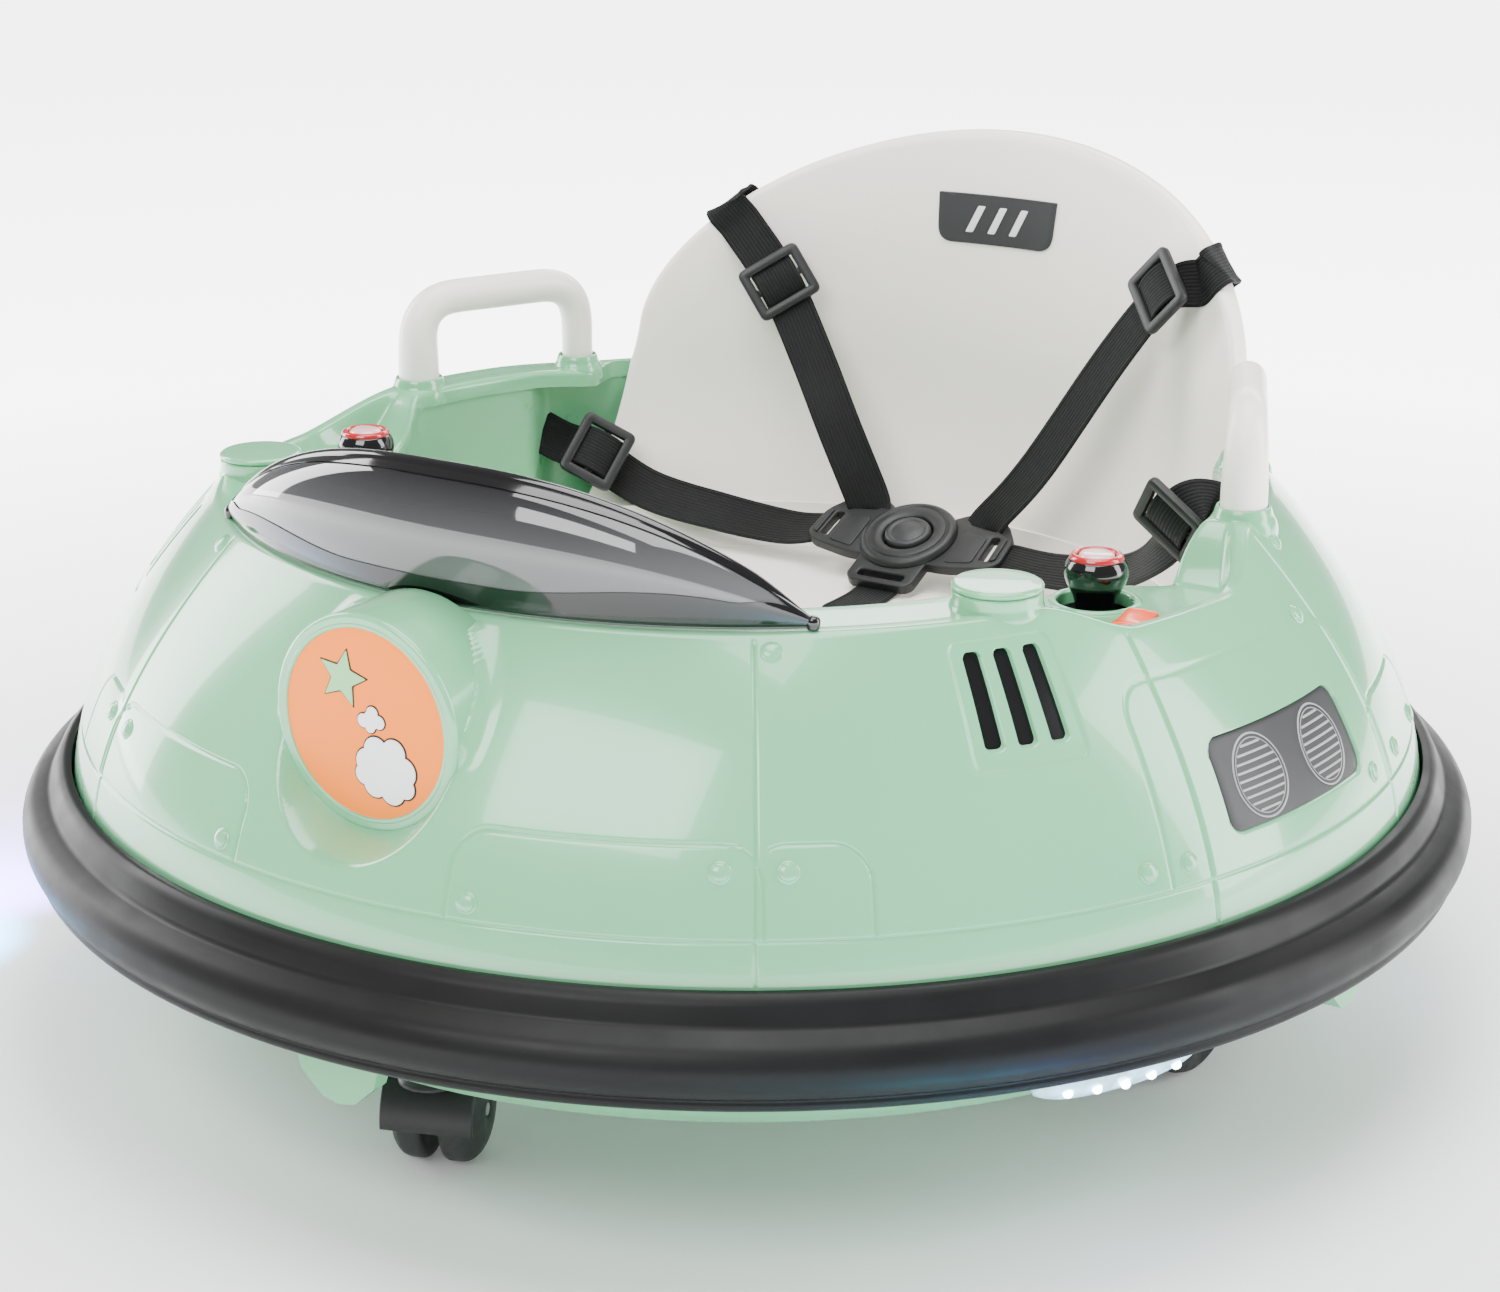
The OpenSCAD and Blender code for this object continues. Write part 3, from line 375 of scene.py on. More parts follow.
def bump(nt, height, strength, distance, under=None):
    b = nt.nodes.new("ShaderNodeBump")
    b.inputs["Strength"].default_value = strength
    b.inputs["Distance"].default_value = distance
    link(nt, height, b.inputs["Height"])
    if under is not None:
        link(nt, under, b.inputs["Normal"])
    return b.outputs["Normal"]


def shade(c, k):
    return tuple(min(1.0, x * k) for x in c)


def plastic(name, colour, rough, coat=0.0, grain=900.0, grain_bump=0.15, vary=0.06, edge_glint=0.0,
            orange_peel=0.0, scuffs=0.0, subsurface=0.0, shine=0.5):
    """Moulded plastic: colour drift, uneven gloss, fine grain, hairline scuffs and a painted highlight that
    lightens sharp edges in patches.
    """
    mat, nt, bs = nodes_of(name)
    vec = coords(nt)
    drift = noise(nt, vec, 7.0, 3.0)
    fine = noise(nt, vec, grain, 4.0, 0.6)
    drift = remap(nt, drift, 0.3, 0.7, 0.0, 1.0)
    base = blend_colour(nt, drift, shade(colour, 1 - vary), shade(colour, 1 + vary))
    speck = remap(nt, fine, 0.3, 0.75, 0.0, 0.35 * vary + 0.01)
    base = blend_colour(nt, speck, base, shade(colour, 0.55))
    # painted highlight: sharp edges, found by pointiness, are lightened in noisy patches
    if edge_glint > 0:
        geo = nt.nodes.new("ShaderNodeNewGeometry")
        edge = remap(nt, geo.outputs["Pointiness"], 0.53, 0.62, 0.0, 1.0)
        patch = remap(nt, noise(nt, vec, 60.0, 4.0), 0.45, 0.62, 0.0, edge_glint)
        edge_glint_mask = math_node(nt, "MULTIPLY", edge, patch)
        base = blend_colour(nt, edge_glint_mask, base, shade([c + 0.12 for c in colour], 1.3))
    link(nt, base, bs.inputs["Base Color"])
    smudge = noise(nt, vec, 18.0, 5.0, 0.6)
    gloss = remap(nt, smudge, 0.3, 0.7, max(0.02, rough * 0.82), rough * 1.2)
    if scuffs > 0:
        streaks = noise(nt, coords(nt, (1.0, 1.0, 9.0)), 160.0, 5.0, 0.7)
        gloss = math_node(nt, "ADD", gloss, remap(nt, streaks, 0.62, 0.78, 0.0, scuffs))
    link(nt, gloss, bs.inputs["Roughness"])
    nrm = bump(nt, fine, grain_bump, 0.00012)
    if orange_peel > 0:
        nrm = bump(nt, noise(nt, vec, 55.0, 2.0), orange_peel, 0.0008, nrm)
    link(nt, nrm, bs.inputs["Normal"])
    bs.inputs["Specular IOR Level"].default_value = shine
    bs.inputs["Coat Weight"].default_value = coat
    bs.inputs["Coat Roughness"].default_value = 0.04
    if subsurface > 0:
        bs.inputs["Subsurface Weight"].default_value = subsurface
        bs.inputs["Subsurface Radius"].default_value = (0.004, 0.004, 0.004)
        bs.inputs["Subsurface Scale"].default_value = 1.0
    return mat


def metal(name, colour, rough=0.3, brush=(1, 1, 1)):
    """Turned or plated metal with brushing and dull patches."""
    mat, nt, bs = nodes_of(name)
    vec = coords(nt, brush)
    lines = noise(nt, vec, 500.0, 6.0, 0.7)
    patch = noise(nt, coords(nt), 25.0, 4.0)
    link(nt, blend_colour(nt, patch, shade(colour, 0.85), shade(colour, 1.08)), bs.inputs["Base Color"])
    link(nt, remap(nt, patch, 0.3, 0.7, rough * 0.8, rough * 1.4), bs.inputs["Roughness"])
    link(nt, bump(nt, lines, 0.25, 0.0001), bs.inputs["Normal"])
    bs.inputs["Metallic"].default_value = 1.0
    return mat


def rubber(name, colour, rough=0.6):
    """Dull tread compound with a pebbled surface and dusty patches."""
    mat, nt, bs = nodes_of(name)
    vec = coords(nt)
    dust = remap(nt, noise(nt, vec, 35.0, 6.0, 0.65), 0.5, 0.75, 0.0, 0.3)
    link(nt, blend_colour(nt, dust, colour, shade([c + 0.06 for c in colour], 1.5)), bs.inputs["Base Color"])
    pebble = noise(nt, vec, 90.0, 4.0)
    gloss = remap(nt, pebble, 0.3, 0.7, rough * 0.85, min(1.0, rough * 1.25))
    link(nt, gloss, bs.inputs["Roughness"])
    link(nt, bump(nt, noise(nt, vec, 1400.0, 3.0), 0.35, 0.0002), bs.inputs["Normal"])
    bs.inputs["Specular IOR Level"].default_value = 0.35
    return mat


MINT = (0.150, 0.455, 0.232)
CREAM = (0.93, 0.885, 0.825)
# after the colour: roughness, clear coat, scale and strength of the grain, drift of the colour
m_mint = plastic("mint_gloss", MINT, 0.2, 0.55, 1500.0, 0.03, 0.02, orange_peel=0.012, scuffs=0.05)
m_mint_in = plastic("mint_satin", MINT, 0.32, 0.15, 1100.0, 0.1, 0.03, scuffs=0.08)
m_cream = plastic("cream_shell", CREAM, 0.36, 0.1, 1100.0, 0.08, 0.02, scuffs=0.05, subsurface=0.04)
m_grip = plastic("cream_grip", (0.92, 0.87, 0.81), 0.33, 0.15, 1200.0, 0.1, 0.02)
m_bumper = plastic("bumper_satin", (0.007, 0.007, 0.0072), 0.42, 0.0, 700.0, 0.22, 0.12, shine=0.15,
                   edge_glint=0.35, scuffs=0.12)
m_black = plastic("black_moulded", (0.018, 0.018, 0.019), 0.4, 0.0, 900.0, 0.3, 0.12, shine=0.4,
                  edge_glint=0.3, scuffs=0.08)
m_gloss = plastic("black_gloss", (0.004, 0.004, 0.0045), 0.09, 0.3, 1500.0, 0.02, 0.1, scuffs=0.05)
m_grey = plastic("dark_grey", (0.028, 0.028, 0.030), 0.4, 0.0, 1000.0, 0.25, 0.1, shine=0.3, edge_glint=0.3)
m_buckle = plastic("buckle_grey", (0.016, 0.016, 0.017), 0.42, 0.0, 900.0, 0.35, 0.1, shine=0.3, edge_glint=0.25)
m_red = plastic("red_ring", (0.50, 0.002, 0.012), 0.2, 0.5, 1500.0, 0.04, 0.05)
# painted highlight: the joystick buttons are red domes, coloured pale pink all over to paint their gloss
# highlight into the colour
m_red_painted_highlight = plastic("red_dome_painted_highlight", (0.80, 0.50, 0.48), 0.12, 0.7, 1500.0, 0.02, 0.03, subsurface=0.05)
m_rocker = plastic("orange_rocker", (0.85, 0.075, 0.006), 0.28, 0.3, 1200.0, 0.1, 0.04)
m_white_print = plastic("white_print", (0.72, 0.72, 0.72), 0.3, 0.1, 1400.0, 0.05, 0.03)
m_tread = rubber("caster_tread", (0.026, 0.026, 0.027), 0.45)
m_tyre = rubber("drive_tyre", (0.02, 0.02, 0.021), 0.75)
m_steel = metal("steel", (0.62, 0.62, 0.63), 0.28)
# ------------------------------------------------------------------ plates with holes and curved plates

def plate(outlines, z0, z1, edge=0.6):
    """A flat plate with holes and rounded edges, from a 2-D curve: the first outline is the outside."""
    cu = bpy.data.curves.new("outline", "CURVE")
    cu.dimensions = "2D"
    cu.fill_mode = "BOTH"
    for o in outlines:
        sp = cu.splines.new("POLY")
        sp.points.add(len(o) - 1)
        for pt, (x, y) in zip(sp.points, o):
            pt.co = (x, y, 0, 1)
        sp.use_cyclic_u = True
    cu.extrude = (z1 - z0) / 2 - edge
    cu.bevel_depth = edge
    cu.bevel_resolution = 3
    cu.offset = -edge
    ob = bpy.data.objects.new("outline", cu)
    me = bpy.data.meshes.new_from_object(ob)
    v = np.array([list(p.co) for p in me.vertices]) + [0, 0, (z0 + z1) / 2]
    f = [list(p.vertices) for p in me.polygons]
    bpy.data.objects.remove(ob)
    bpy.data.curves.remove(cu)
    bpy.data.meshes.remove(me)
    return v, f


def wrapped(outline, at, under, face, edge=0.4, rows=12):
    """A closed plate on a curved surface; at(across, up, off) gives a point of the surface."""
    o = np.asarray(outline, float)
    size = np.abs(o).max()
    inner = o * (1 - edge / size)
    between = (o + inner) / 2
    rings = [at(o[:, 0] * k, o[:, 1] * k, under) for k in np.linspace(0.02, 1, rows)]
    rings.append(at(o[:, 0], o[:, 1], face - edge))
    rings.append(at(between[:, 0], between[:, 1], face - 0.25 * edge))
    rings += [at(inner[:, 0] * k, inner[:, 1] * k, face) for k in np.linspace(1, 0.02, rows)]
    return loft(np.stack(rings))


def ring_frame(w, h, r, bar_w, z0, z1, e=1.0):
    """A rounded rectangular frame with rounded bars."""
    near = [(0, z0 + e), (0.3 * e, z0 + 0.3 * e), (e, z0)]
    far = [(bar_w - e, z0), (bar_w - 0.3 * e, z0 + 0.3 * e), (bar_w, z0 + e)]
    back = [(bar_w, z1 - e), (bar_w - 0.3 * e, z1 - 0.3 * e), (bar_w - e, z1)]
    front = [(e, z1), (0.3 * e, z1 - 0.3 * e), (0, z1 - e)]
    rings = [level(rounded_rect(w - 2 * g, h - 2 * g, max(0.6, r - g), 6), z)
             for g, z in near + far + back + front]
    return loft(np.stack(rings), closed=True)
# ------------------------------------------------------------------ upper body

def skin_r(z):
    h = (np.asarray(z, float) - 140) / 130
    return 338 - 20.28 * h - 61.4 * h * h + 5.36 * h ** 3


def rim_z(t):
    t = np.abs(t)
    return 270.6 - 13.2 * smooth(61.5, 72, t) + 17.0 * smooth(85, 99, t) - 3.2 * smooth(113, 130, t)


def deck_z(t):
    t = np.abs(t)
    return 269.0 - 20.4 * smooth(60, 66, t) + 25.2 * smooth(91.5, 98.5, t) - 3.0 * smooth(117, 128, t)


def inner_r(t, back=(125.5, 130.5)):
    """Inner edge of the deck; the tub's wall below it steps back sooner, to clear the harness."""
    t = np.abs(t)
    r = 218.5 - 26.5 * smooth(60, 66, t) + 37.5 * smooth(84, 92, t) + 5.5 * smooth(94, 99, t)
    return r + 19.5 * smooth(*back, t)


def box_sdf(x, y, cx, cy, hx, hy, r):
    """Signed distance to a rounded rectangle, negative inside."""
    qx, qy = np.abs(x - cx) - hx + r, np.abs(y - cy) - hy + r
    return np.hypot(np.maximum(qx, 0), np.maximum(qy, 0)) + np.minimum(np.maximum(qx, qy), 0) - r


def groove(d, deep, half=0.75):
    return deep * np.exp(-(d / half) ** 2)


badge_lo, badge_hi = node_box("badge_ring")
badge_z = (badge_lo[2] + badge_hi[2]) / 2
badge_r = (badge_hi[0] - badge_lo[0]) / 2
badge_y = -303.0
# places on the dome in degrees and millimetres, and the radius that turns one into the other there
SLOTS, VENT_T, VENT_ARC = (52.9, 55.9, 58.9), 55.9, 288.0
LAMP_T, LAMP_Z, LAMP_ARC = 82.25, 193.8, 306.0
INLET_Z, INLET_ARC = 185, 320
PANEL_ARC, PANEL_FOOT, SEAM_Z = 318.0, 90, 160.3
# side panels: first and last angle, top, corner radius
PANELS = ((10.0, 33.6, 197.0, 16.0), (32.4, 41.6, 197.0, 16.0), (65.6, 97.6, 240.0, 14.0),
          (96.4, 112.0, 197.0, 16.0), (138.5, 147.6, 197.0, 16.0), (146.4, 170.0, 197.0, 16.0))


def inset(t, z):
    """How far the dome's surface lies below its plain shape, from its seams, panels and recesses."""
    a = np.abs(t)
    d = groove(z - SEAM_Z, 0.9)
    for s in (33.0, 69.5, 97.0):
        d = np.maximum(d, groove((a - s) * 5.2, 1.1) * (z > 141))
    u = np.radians(a) * PANEL_ARC
    for lo, hi, top, r in PANELS:
        middle, half = np.radians((lo + hi) / 2) * PANEL_ARC, np.radians((hi - lo) / 2) * PANEL_ARC
        s = box_sdf(u, z, middle, (top + PANEL_FOOT) / 2, half, (top - PANEL_FOOT) / 2, r)
        side = (z > 161.2) & (a > lo - 0.8) & (a < hi + 0.8)
        hide = (np.abs(a - 33) < 0.9) & (lo > 10)
        d = np.maximum(d, groove(s, 0.95 if top < 200 else 0.75) * side * ~hide)
    d = np.maximum(d, groove((a - 147.0) * 5.2, 1.1) * (z > 141))
    # shallow frame round the vents and the slots in it
    arc_v = np.radians(a - VENT_T) * VENT_ARC
    frame_d = box_sdf(arc_v, z, 0.0, 240.6, 26.0, 23.0, 5.0)
    d = d + 1.0 * (1 - smooth(-0.9, 0.6, frame_d))
    for s in SLOTS:
        sd = box_sdf(arc_v, z, np.radians(s - VENT_T) * VENT_ARC, 241.8, 4.1, 17.4, 2.6)
        d = d + 6.5 * (1 - smooth(-0.7, 0.5, sd))
    lamp = box_sdf(np.radians(a - LAMP_T) * LAMP_ARC, z, 0.0, LAMP_Z, 52.4, 19.4, 8.0)
    d = d + 2.6 * (1 - smooth(-0.7, 0.4, lamp))
    # dished landing for the charging inlet at the back
    inlet = np.hypot(np.radians(180 - a) * INLET_ARC, (z - INLET_Z) * 1.04)
    return d + 1.4 * (1 - smooth(15, 19, inlet))


def steps(*spans):
    out = []
    for a, b, s in spans:
        out += list(np.linspace(a, b, max(2, int(round((b - a) / s)) + 1))[:-1])
    return np.array(out + [spans[-1][1]])


# each span: first and last value and the step between rows; fine where a seam or an edge passes
half_t = steps(
    (0, 9, 0.3), (9, 16, 0.13), (16, 32.2, 0.7), (32.2, 42.6, 0.12), (42.6, 50.4, 0.6), (50.4, 61.6, 0.12),
    (61.6, 64.9, 0.4), (64.9, 70.3, 0.12), (70.3, 72, 0.3), (72, 75, 0.12), (75, 89.5, 0.5),
    (89.5, 92.6, 0.12), (92.6, 96, 0.4), (96, 98, 0.12), (98, 108, 0.6), (108, 112.8, 0.14),
    (112.8, 137.6, 0.8), (137.6, 147.9, 0.14), (147.9, 166, 0.8), (166, 170.8, 0.14), (170.8, 173.5, 0.4),
    (173.5, 180, 0.3))
body_t = np.concatenate([-half_t[::-1][:-1], half_t[:-1]])
dome_rows = steps(
    (134, 158, 2.0), (158, 162.6, 0.33), (162.6, 173, 1.3), (173, 180, 0.5), (180, 199, 0.45),
    (199, 210.5, 1.3), (210.5, 220.5, 0.5), (220.5, 228, 0.4), (228, 256, 1.6), (256, 266.5, 0.45))

# above 226 the rows are stretched or squeezed to end under the rim
T, Z = np.meshgrid(body_t, dome_rows, indexing="ij")
top = rim_z(T) - 4.2
Zs = np.where(Z < 226, Z, 226 + (Z - 226) * (top - 226) / 40.5)
dome = polar(T, skin_r(Zs) - inset(T, Zs), Zs)
# scoop cut under the badge, and the fillet where the badge's boss leaves the dome
rho = np.hypot(dome[..., 0], dome[..., 2] - badge_z)
front = dome[..., 1] < -200
scoop = badge_y + 4 - np.maximum(rho - (badge_r + 1), 0) * 2.9
y = dome[..., 1]
k = 1.2
cut = np.where(front & (rho < badge_r + 14), k * np.logaddexp(y / k, scoop / k), y)
lift = 9 - np.sqrt(np.clip(81 - (badge_r + 13 - np.clip(rho, badge_r + 4, badge_r + 13)) ** 2, 0, 81))
behind = smooth(0, 9, cut - badge_y)
dome[..., 1] = np.where(front, cut - lift * behind, cut)

zr, zd, ri = rim_z(body_t), deck_z(body_t), inner_r(body_t)
r0 = skin_r(zr - 4.2)
rc = r0 - 3.9
ctrl = line_rows([
    (r0, zr - 4.2), (rc, zr), (rc - 3.5, zr + 0.0), (rc - 6.5, zr - 0.2), (rc - 8.5, (zr + zd) / 2),
    (rc - 10.5, zd), (rc - 14, zd), (0.55 * rc + 0.45 * ri, zd), (ri + 9, zd), (ri + 0.5, zd - 0.2),
    (ri, zd - 5.5), (ri, zd - 9)])
# where the deck is narrow, at the back, no part of the line may reach past the inner edge
ctrl[..., 0] = np.minimum.accumulate(np.maximum(ctrl[..., 0], ri[:, None]), axis=1)
top_line = chaikin(ctrl, 3)[:, 1:]
deck = polar(body_t[:, None], top_line[..., 0], top_line[..., 1])
shell = np.concatenate([dome, deck], 1)
faces = np.array(quads(*shell.shape[:2], wrap_u=True))
flat = shell.reshape(-1, 3)
mid = flat[faces].mean(1)

# openings for the sticks and the rocker
stick_lo, stick_hi = node_box("right_stick_ring")
stick_xy = (stick_lo[:2] + stick_hi[:2]) / 2
rock_lo, rock_hi = node_box("rocker_bezel")
rock_xy = (rock_lo[:2] + rock_hi[:2]) / 2
STICK_HOLE_R, ROCKER_HOLE = 18.6, (8.6, 13.2)
high = mid[:, 2] > 240
gone = high & (np.hypot(np.abs(mid[:, 0]) - stick_xy[0], mid[:, 1] - stick_xy[1]) < STICK_HOLE_R)
gone |= (high & (np.abs(mid[:, 0] - rock_xy[0]) < ROCKER_HOLE[0])
         & (np.abs(mid[:, 1] - rock_xy[1]) < ROCKER_HOLE[1]))
body = piece("body_shell", flat, faces[~gone].tolist(), m_mint, slot="mint_shell", nodes=("upper_body",),
             weld=False, sharp=50)
bm = bmesh.new()
bm.from_mesh(body.data)
bmesh.ops.delete(bm, geom=[v for v in bm.verts if not v.link_faces], context="VERTS")
bmesh.ops.recalc_face_normals(bm, faces=bm.faces)
facing_out = sum(f.calc_area() for f in bm.faces if f.normal.dot(f.calc_center_median()) > 0)
if facing_out < 0.5 * sum(f.calc_area() for f in bm.faces):
    bmesh.ops.reverse_faces(bm, faces=bm.faces)
bm.to_mesh(body.data)
bm.free()
body.data.shade_smooth()

# rivets stand on the dome beside the seams
rivets = Parts()
dot = revolve([[0, -0.8], [5.0, -0.8], [5.0, 0.15], [4.6, 0.5], [4.0, 0.7], [3.7, 1.3], [2.9, 1.75],
               [1.6, 2.0], [0, 2.1]], 28)
RIVETS = ((11.7, 168), (30.4, 187), (35.4, 187), (34.6, 264), (63.5, 170.5), (67.4, 170), (93.7, 170),
          (93.7, 240), (100.3, 170), (100.3, 264), (110.0, 168), (140.0, 168), (144.6, 187), (149.4, 187),
          (168.3, 168))
for t, z in RIVETS:
    for s in (-1, 1):
        slope = (skin_r(z - 3) - skin_r(z + 3)) / 6
        out = polar(s * t, 1, 0)
        n = unit(out + [0, 0, float(slope)])
        x = unit(np.cross([0, 0, 1.0], n))
        rivets.add(*placed(dot, polar(s * t, float(skin_r(z)), z), x, np.cross(n, x), n))
rivets.make("rivets", m_mint, slot="mint_shell")

# boss that carries the badge
prof = rounded([[badge_r - 1.5, -1.8], [badge_r + 2.6, -1.8], [badge_r + 4, -0.4], [badge_r + 4, 41],
                [badge_r + 1, 41], [badge_r + 1, 3], [badge_r - 1.5, 3]],
               [0.6, 1.2, 1.2, 0.5, 0.5, 0.5, 0.5], 4)
boss_v, boss_f = placed(revolve(prof, 144), [0, badge_y, badge_z], [1, 0, 0], [0, 0, 1], [0, 1, 0])
# its back end follows the inside of the dome, so that nothing shows through it
inside_r = skin_r(np.clip(boss_v[:, 2], 140, 269)) - 2.5
lim = -np.sqrt(np.maximum(inside_r ** 2 - boss_v[:, 0] ** 2, 1))
back_y = np.maximum(np.minimum(boss_v[:, 1], lim + 6), badge_y + 5)
boss_v[:, 1] = np.where(boss_v[:, 1] > badge_y + 5, back_y, boss_v[:, 1])
piece("badge_boss", boss_v, boss_f, m_mint, slot="mint_shell", sharp=40)

# pedestals under the round lids and collars round the handle feet
lid_lo, lid_hi = node_box("cap_lids")
lid_r = 20.0
lid_c = (lid_hi[0] - lid_r - 0.4, lid_lo[1] + lid_r + 0.4)
stand = Parts()
stand.add(*revolve(rounded([[21.6, 248], [21.2, 269.0], [20.2, 271.5], [20, 276.6], [19.2, 277.1],
                            [17.0, 277.1], [17.0, 248]], [0, 2, 2, 0.5, 0.4, 0.3, 0], 4), 96, lid_c))
stand.mirrored()
stand.make("lid_stands", m_mint, slot="mint_shell")
bevel(frame["nodes"]["cap_lids"], 0.5, 3)

# each foot of a handle: x, y and radius
feet = ((246.0, 50.0, 11.3), (205.0, 143.0, 9.3))
collar = Parts()
for fx, fy, fr in feet:
    flare = np.array([[5.5, 268.0], [4.6, 271.6], [2.9, 274.2], [2.2, 276.8], [1.4, 278.6], [0.4, 278.6],
                      [0.4, 265], [5.5, 265]]) + [fr, 0]
    collar.add(*revolve(rounded(flare, [0, 2, 2, 1.5, 0.5, 0.3, 0, 0], 4), 72, (fx, fy)))
collar.mirrored()
collar.make("handle_collars", m_mint, slot="mint_shell")

# ------------------------------------------------------------------ tub

tub_t = np.linspace(-180, 180, 361)[:-1]
ta = np.abs(tub_t)
rt, zt = inner_r(tub_t, (116, 121.5)) + 0.9, deck_z(tub_t) - 5.5
r_lip = inner_r(tub_t) + 0.9
shelf_z, floor_z, well_r = 153.0, 87.0, 150.0
ledge = smooth(90, 96, ta) * (1 - smooth(116, 121, ta))
dish = smooth(98, 106, ta) * (1 - smooth(112, 120, ta))
wall = chaikin(line_rows([
    (r_lip, zt), (r_lip, zt - 3.5), (rt, zt - 4.5), (rt, zt - 8), (rt + 4.0 * dish, zt - 26),
    (rt + 5.0 * dish, 214.0), (rt - 2 * ledge, 205.0), (rt - 15 * ledge, 200.0), (rt - 18 * ledge, 192.0),
    (rt - 15 * ledge, 175.0), (rt - 12 * ledge - 1, shelf_z + 4), (rt - 13 * ledge - 5, shelf_z + 0.2),
    (rt * 0.5 + well_r * 0.5, shelf_z), (well_r + 6, shelf_z), (well_r + 0.5, shelf_z - 0.5),
    (well_r, shelf_z - 7), (well_r - 1.5, floor_z + 10), (well_r - 3.0, floor_z + 1),
    (well_r - 12.0, floor_z)]), 3)
floor_rows = np.linspace(wall[0, -1, 0], 2.0, 12)[1:]
floor_ring = np.stack(np.broadcast_arrays(floor_rows[None], floor_z + 0 * rt[:, None]), -1)
wall = np.concatenate([wall, floor_ring], 1)
tub_p = polar(tub_t[:, None], wall[..., 0], wall[..., 1])
tf = quads(*tub_p.shape[:2], wrap_u=True)
tf.append([i * tub_p.shape[1] + tub_p.shape[1] - 1 for i in range(len(tub_t))])
tub = piece("cockpit_liner", tub_p.reshape(-1, 3), tf, m_mint_in, slot="mint_shell",
            nodes=("cockpit_tub",), sharp=50)
bm = bmesh.new()
bm.from_mesh(tub.data)
if sum(f.normal.z * f.calc_area() for f in bm.faces) < 0:
    bmesh.ops.reverse_faces(bm, faces=bm.faces)
bm.to_mesh(tub.data)
bm.free()
# moulded ribs across the footwell floor
treads = Parts()
for k in range(9):
    yy = -118 + k * 14.0
    half = math.sqrt(max(0, 132 ** 2 - yy ** 2)) * 0.72
    rib = rounded_rect(2 * half, 5.0, 2.4, 4) + [0, yy]
    treads.add(*soft_prism(rib, floor_z - 0.5, floor_z + 1.6, 0.7))
treads.make("foot_ribs", m_mint_in, slot="mint_shell")

# ------------------------------------------------------------------ bumper

bump_lo, bump_hi = node_box("bumper_ring")
out_r = bump_hi[0]
b_low, b_high = bump_lo[2], bump_hi[2]
prof = rounded(np.array([[-25.5, b_high], [-22, b_high], [-18.5, 139.2], [-15.8, 133], [-14.5, 129.4],
                         [-10.5, 127.6], [-4.0, 124.0], [0, 116.5], [0, 108.5], [-3.4, 103],
                         [-5.6, 101.6], [-4.4, 98.8], [-6.2, 96.2], [-10, b_low + 0.2], [-20, b_low],
                         [-27, b_low + 0.5], [-27, 110], [-25.5, 118]]) + [out_r, 0],
               [0.5, 1.5, 3, 3, 2.0, 5, 6, 6, 4, 2.2, 1.6, 1.4, 2, 2, 1, 1, 1, 1], 6)
piece("bumper", *revolve(prof, 360), m_bumper, slot="bumper_black", nodes=("bumper_ring",), sharp=60)

# ------------------------------------------------------------------ windshield

SH = dict(half=165.0, top=331.0, base_r=259.3, base_z=272.4, back=-248.0)
SH["tip_y"] = -math.sqrt(SH["base_r"] ** 2 - SH["half"] ** 2)


def shield_at(s, v, off=0.0):
    s, v = np.broadcast_arrays(np.asarray(s, float), np.asarray(v, float))
    t = np.arcsin(SH["half"] * s / SH["base_r"])
    base = np.stack([SH["base_r"] * np.sin(t), -SH["base_r"] * np.cos(t), np.full_like(t, SH["base_z"])], -1)
    top = np.stack([SH["half"] * s, SH["back"] + (SH["tip_y"] - SH["back"]) * s * s,
                    SH["base_z"] + (SH["top"] - SH["base_z"] - 1.5) * (1 - np.abs(s) ** 2.5)], -1)
    d = np.stack([0.77 * np.sin(t), -0.77 * np.cos(t), np.full_like(t, 0.64)], -1)
    bulge = 12 * 4 * v * (1 - v) * (1 - s ** 4)
    return base * (1 - v[..., None]) + top * v[..., None] + d * (bulge + off)[..., None]


def shield_sheet(name, s0, s1, v0, v1, o0, o1, mat, slot, ns=120, nv=24, nodes=(), edge=0.0):
    """Closed shell on the windshield's surface; v0 and v1 may vary along it."""
    s = np.linspace(s0, s1, ns)
    a = v0(s) if callable(v0) else np.full(ns, v0)
    b = v1(s) if callable(v1) else np.full(ns, v1)
    k = np.linspace(0, 1, nv)
    v = a[:, None] * (1 - k) + b[:, None] * k
    outer = shield_at(s[:, None], v, o1)
    inner = shield_at(s[:, None], v, o0)[:, ::-1]
    edge_hi = shield_at(s[:, None], b[:, None], (o0 + o1) / 2) + unit(outer[:, -1:] - outer[:, -2:-1]) * edge
    edge_lo = shield_at(s[:, None], a[:, None], (o0 + o1) / 2) - unit(outer[:, 1:2] - outer[:, :1]) * edge
    rings = np.concatenate([outer, edge_hi, inner, edge_lo], 1)
    vf = loft(rings)
    return piece(name, *vf, mat, slot=slot, nodes=nodes, sharp=45)


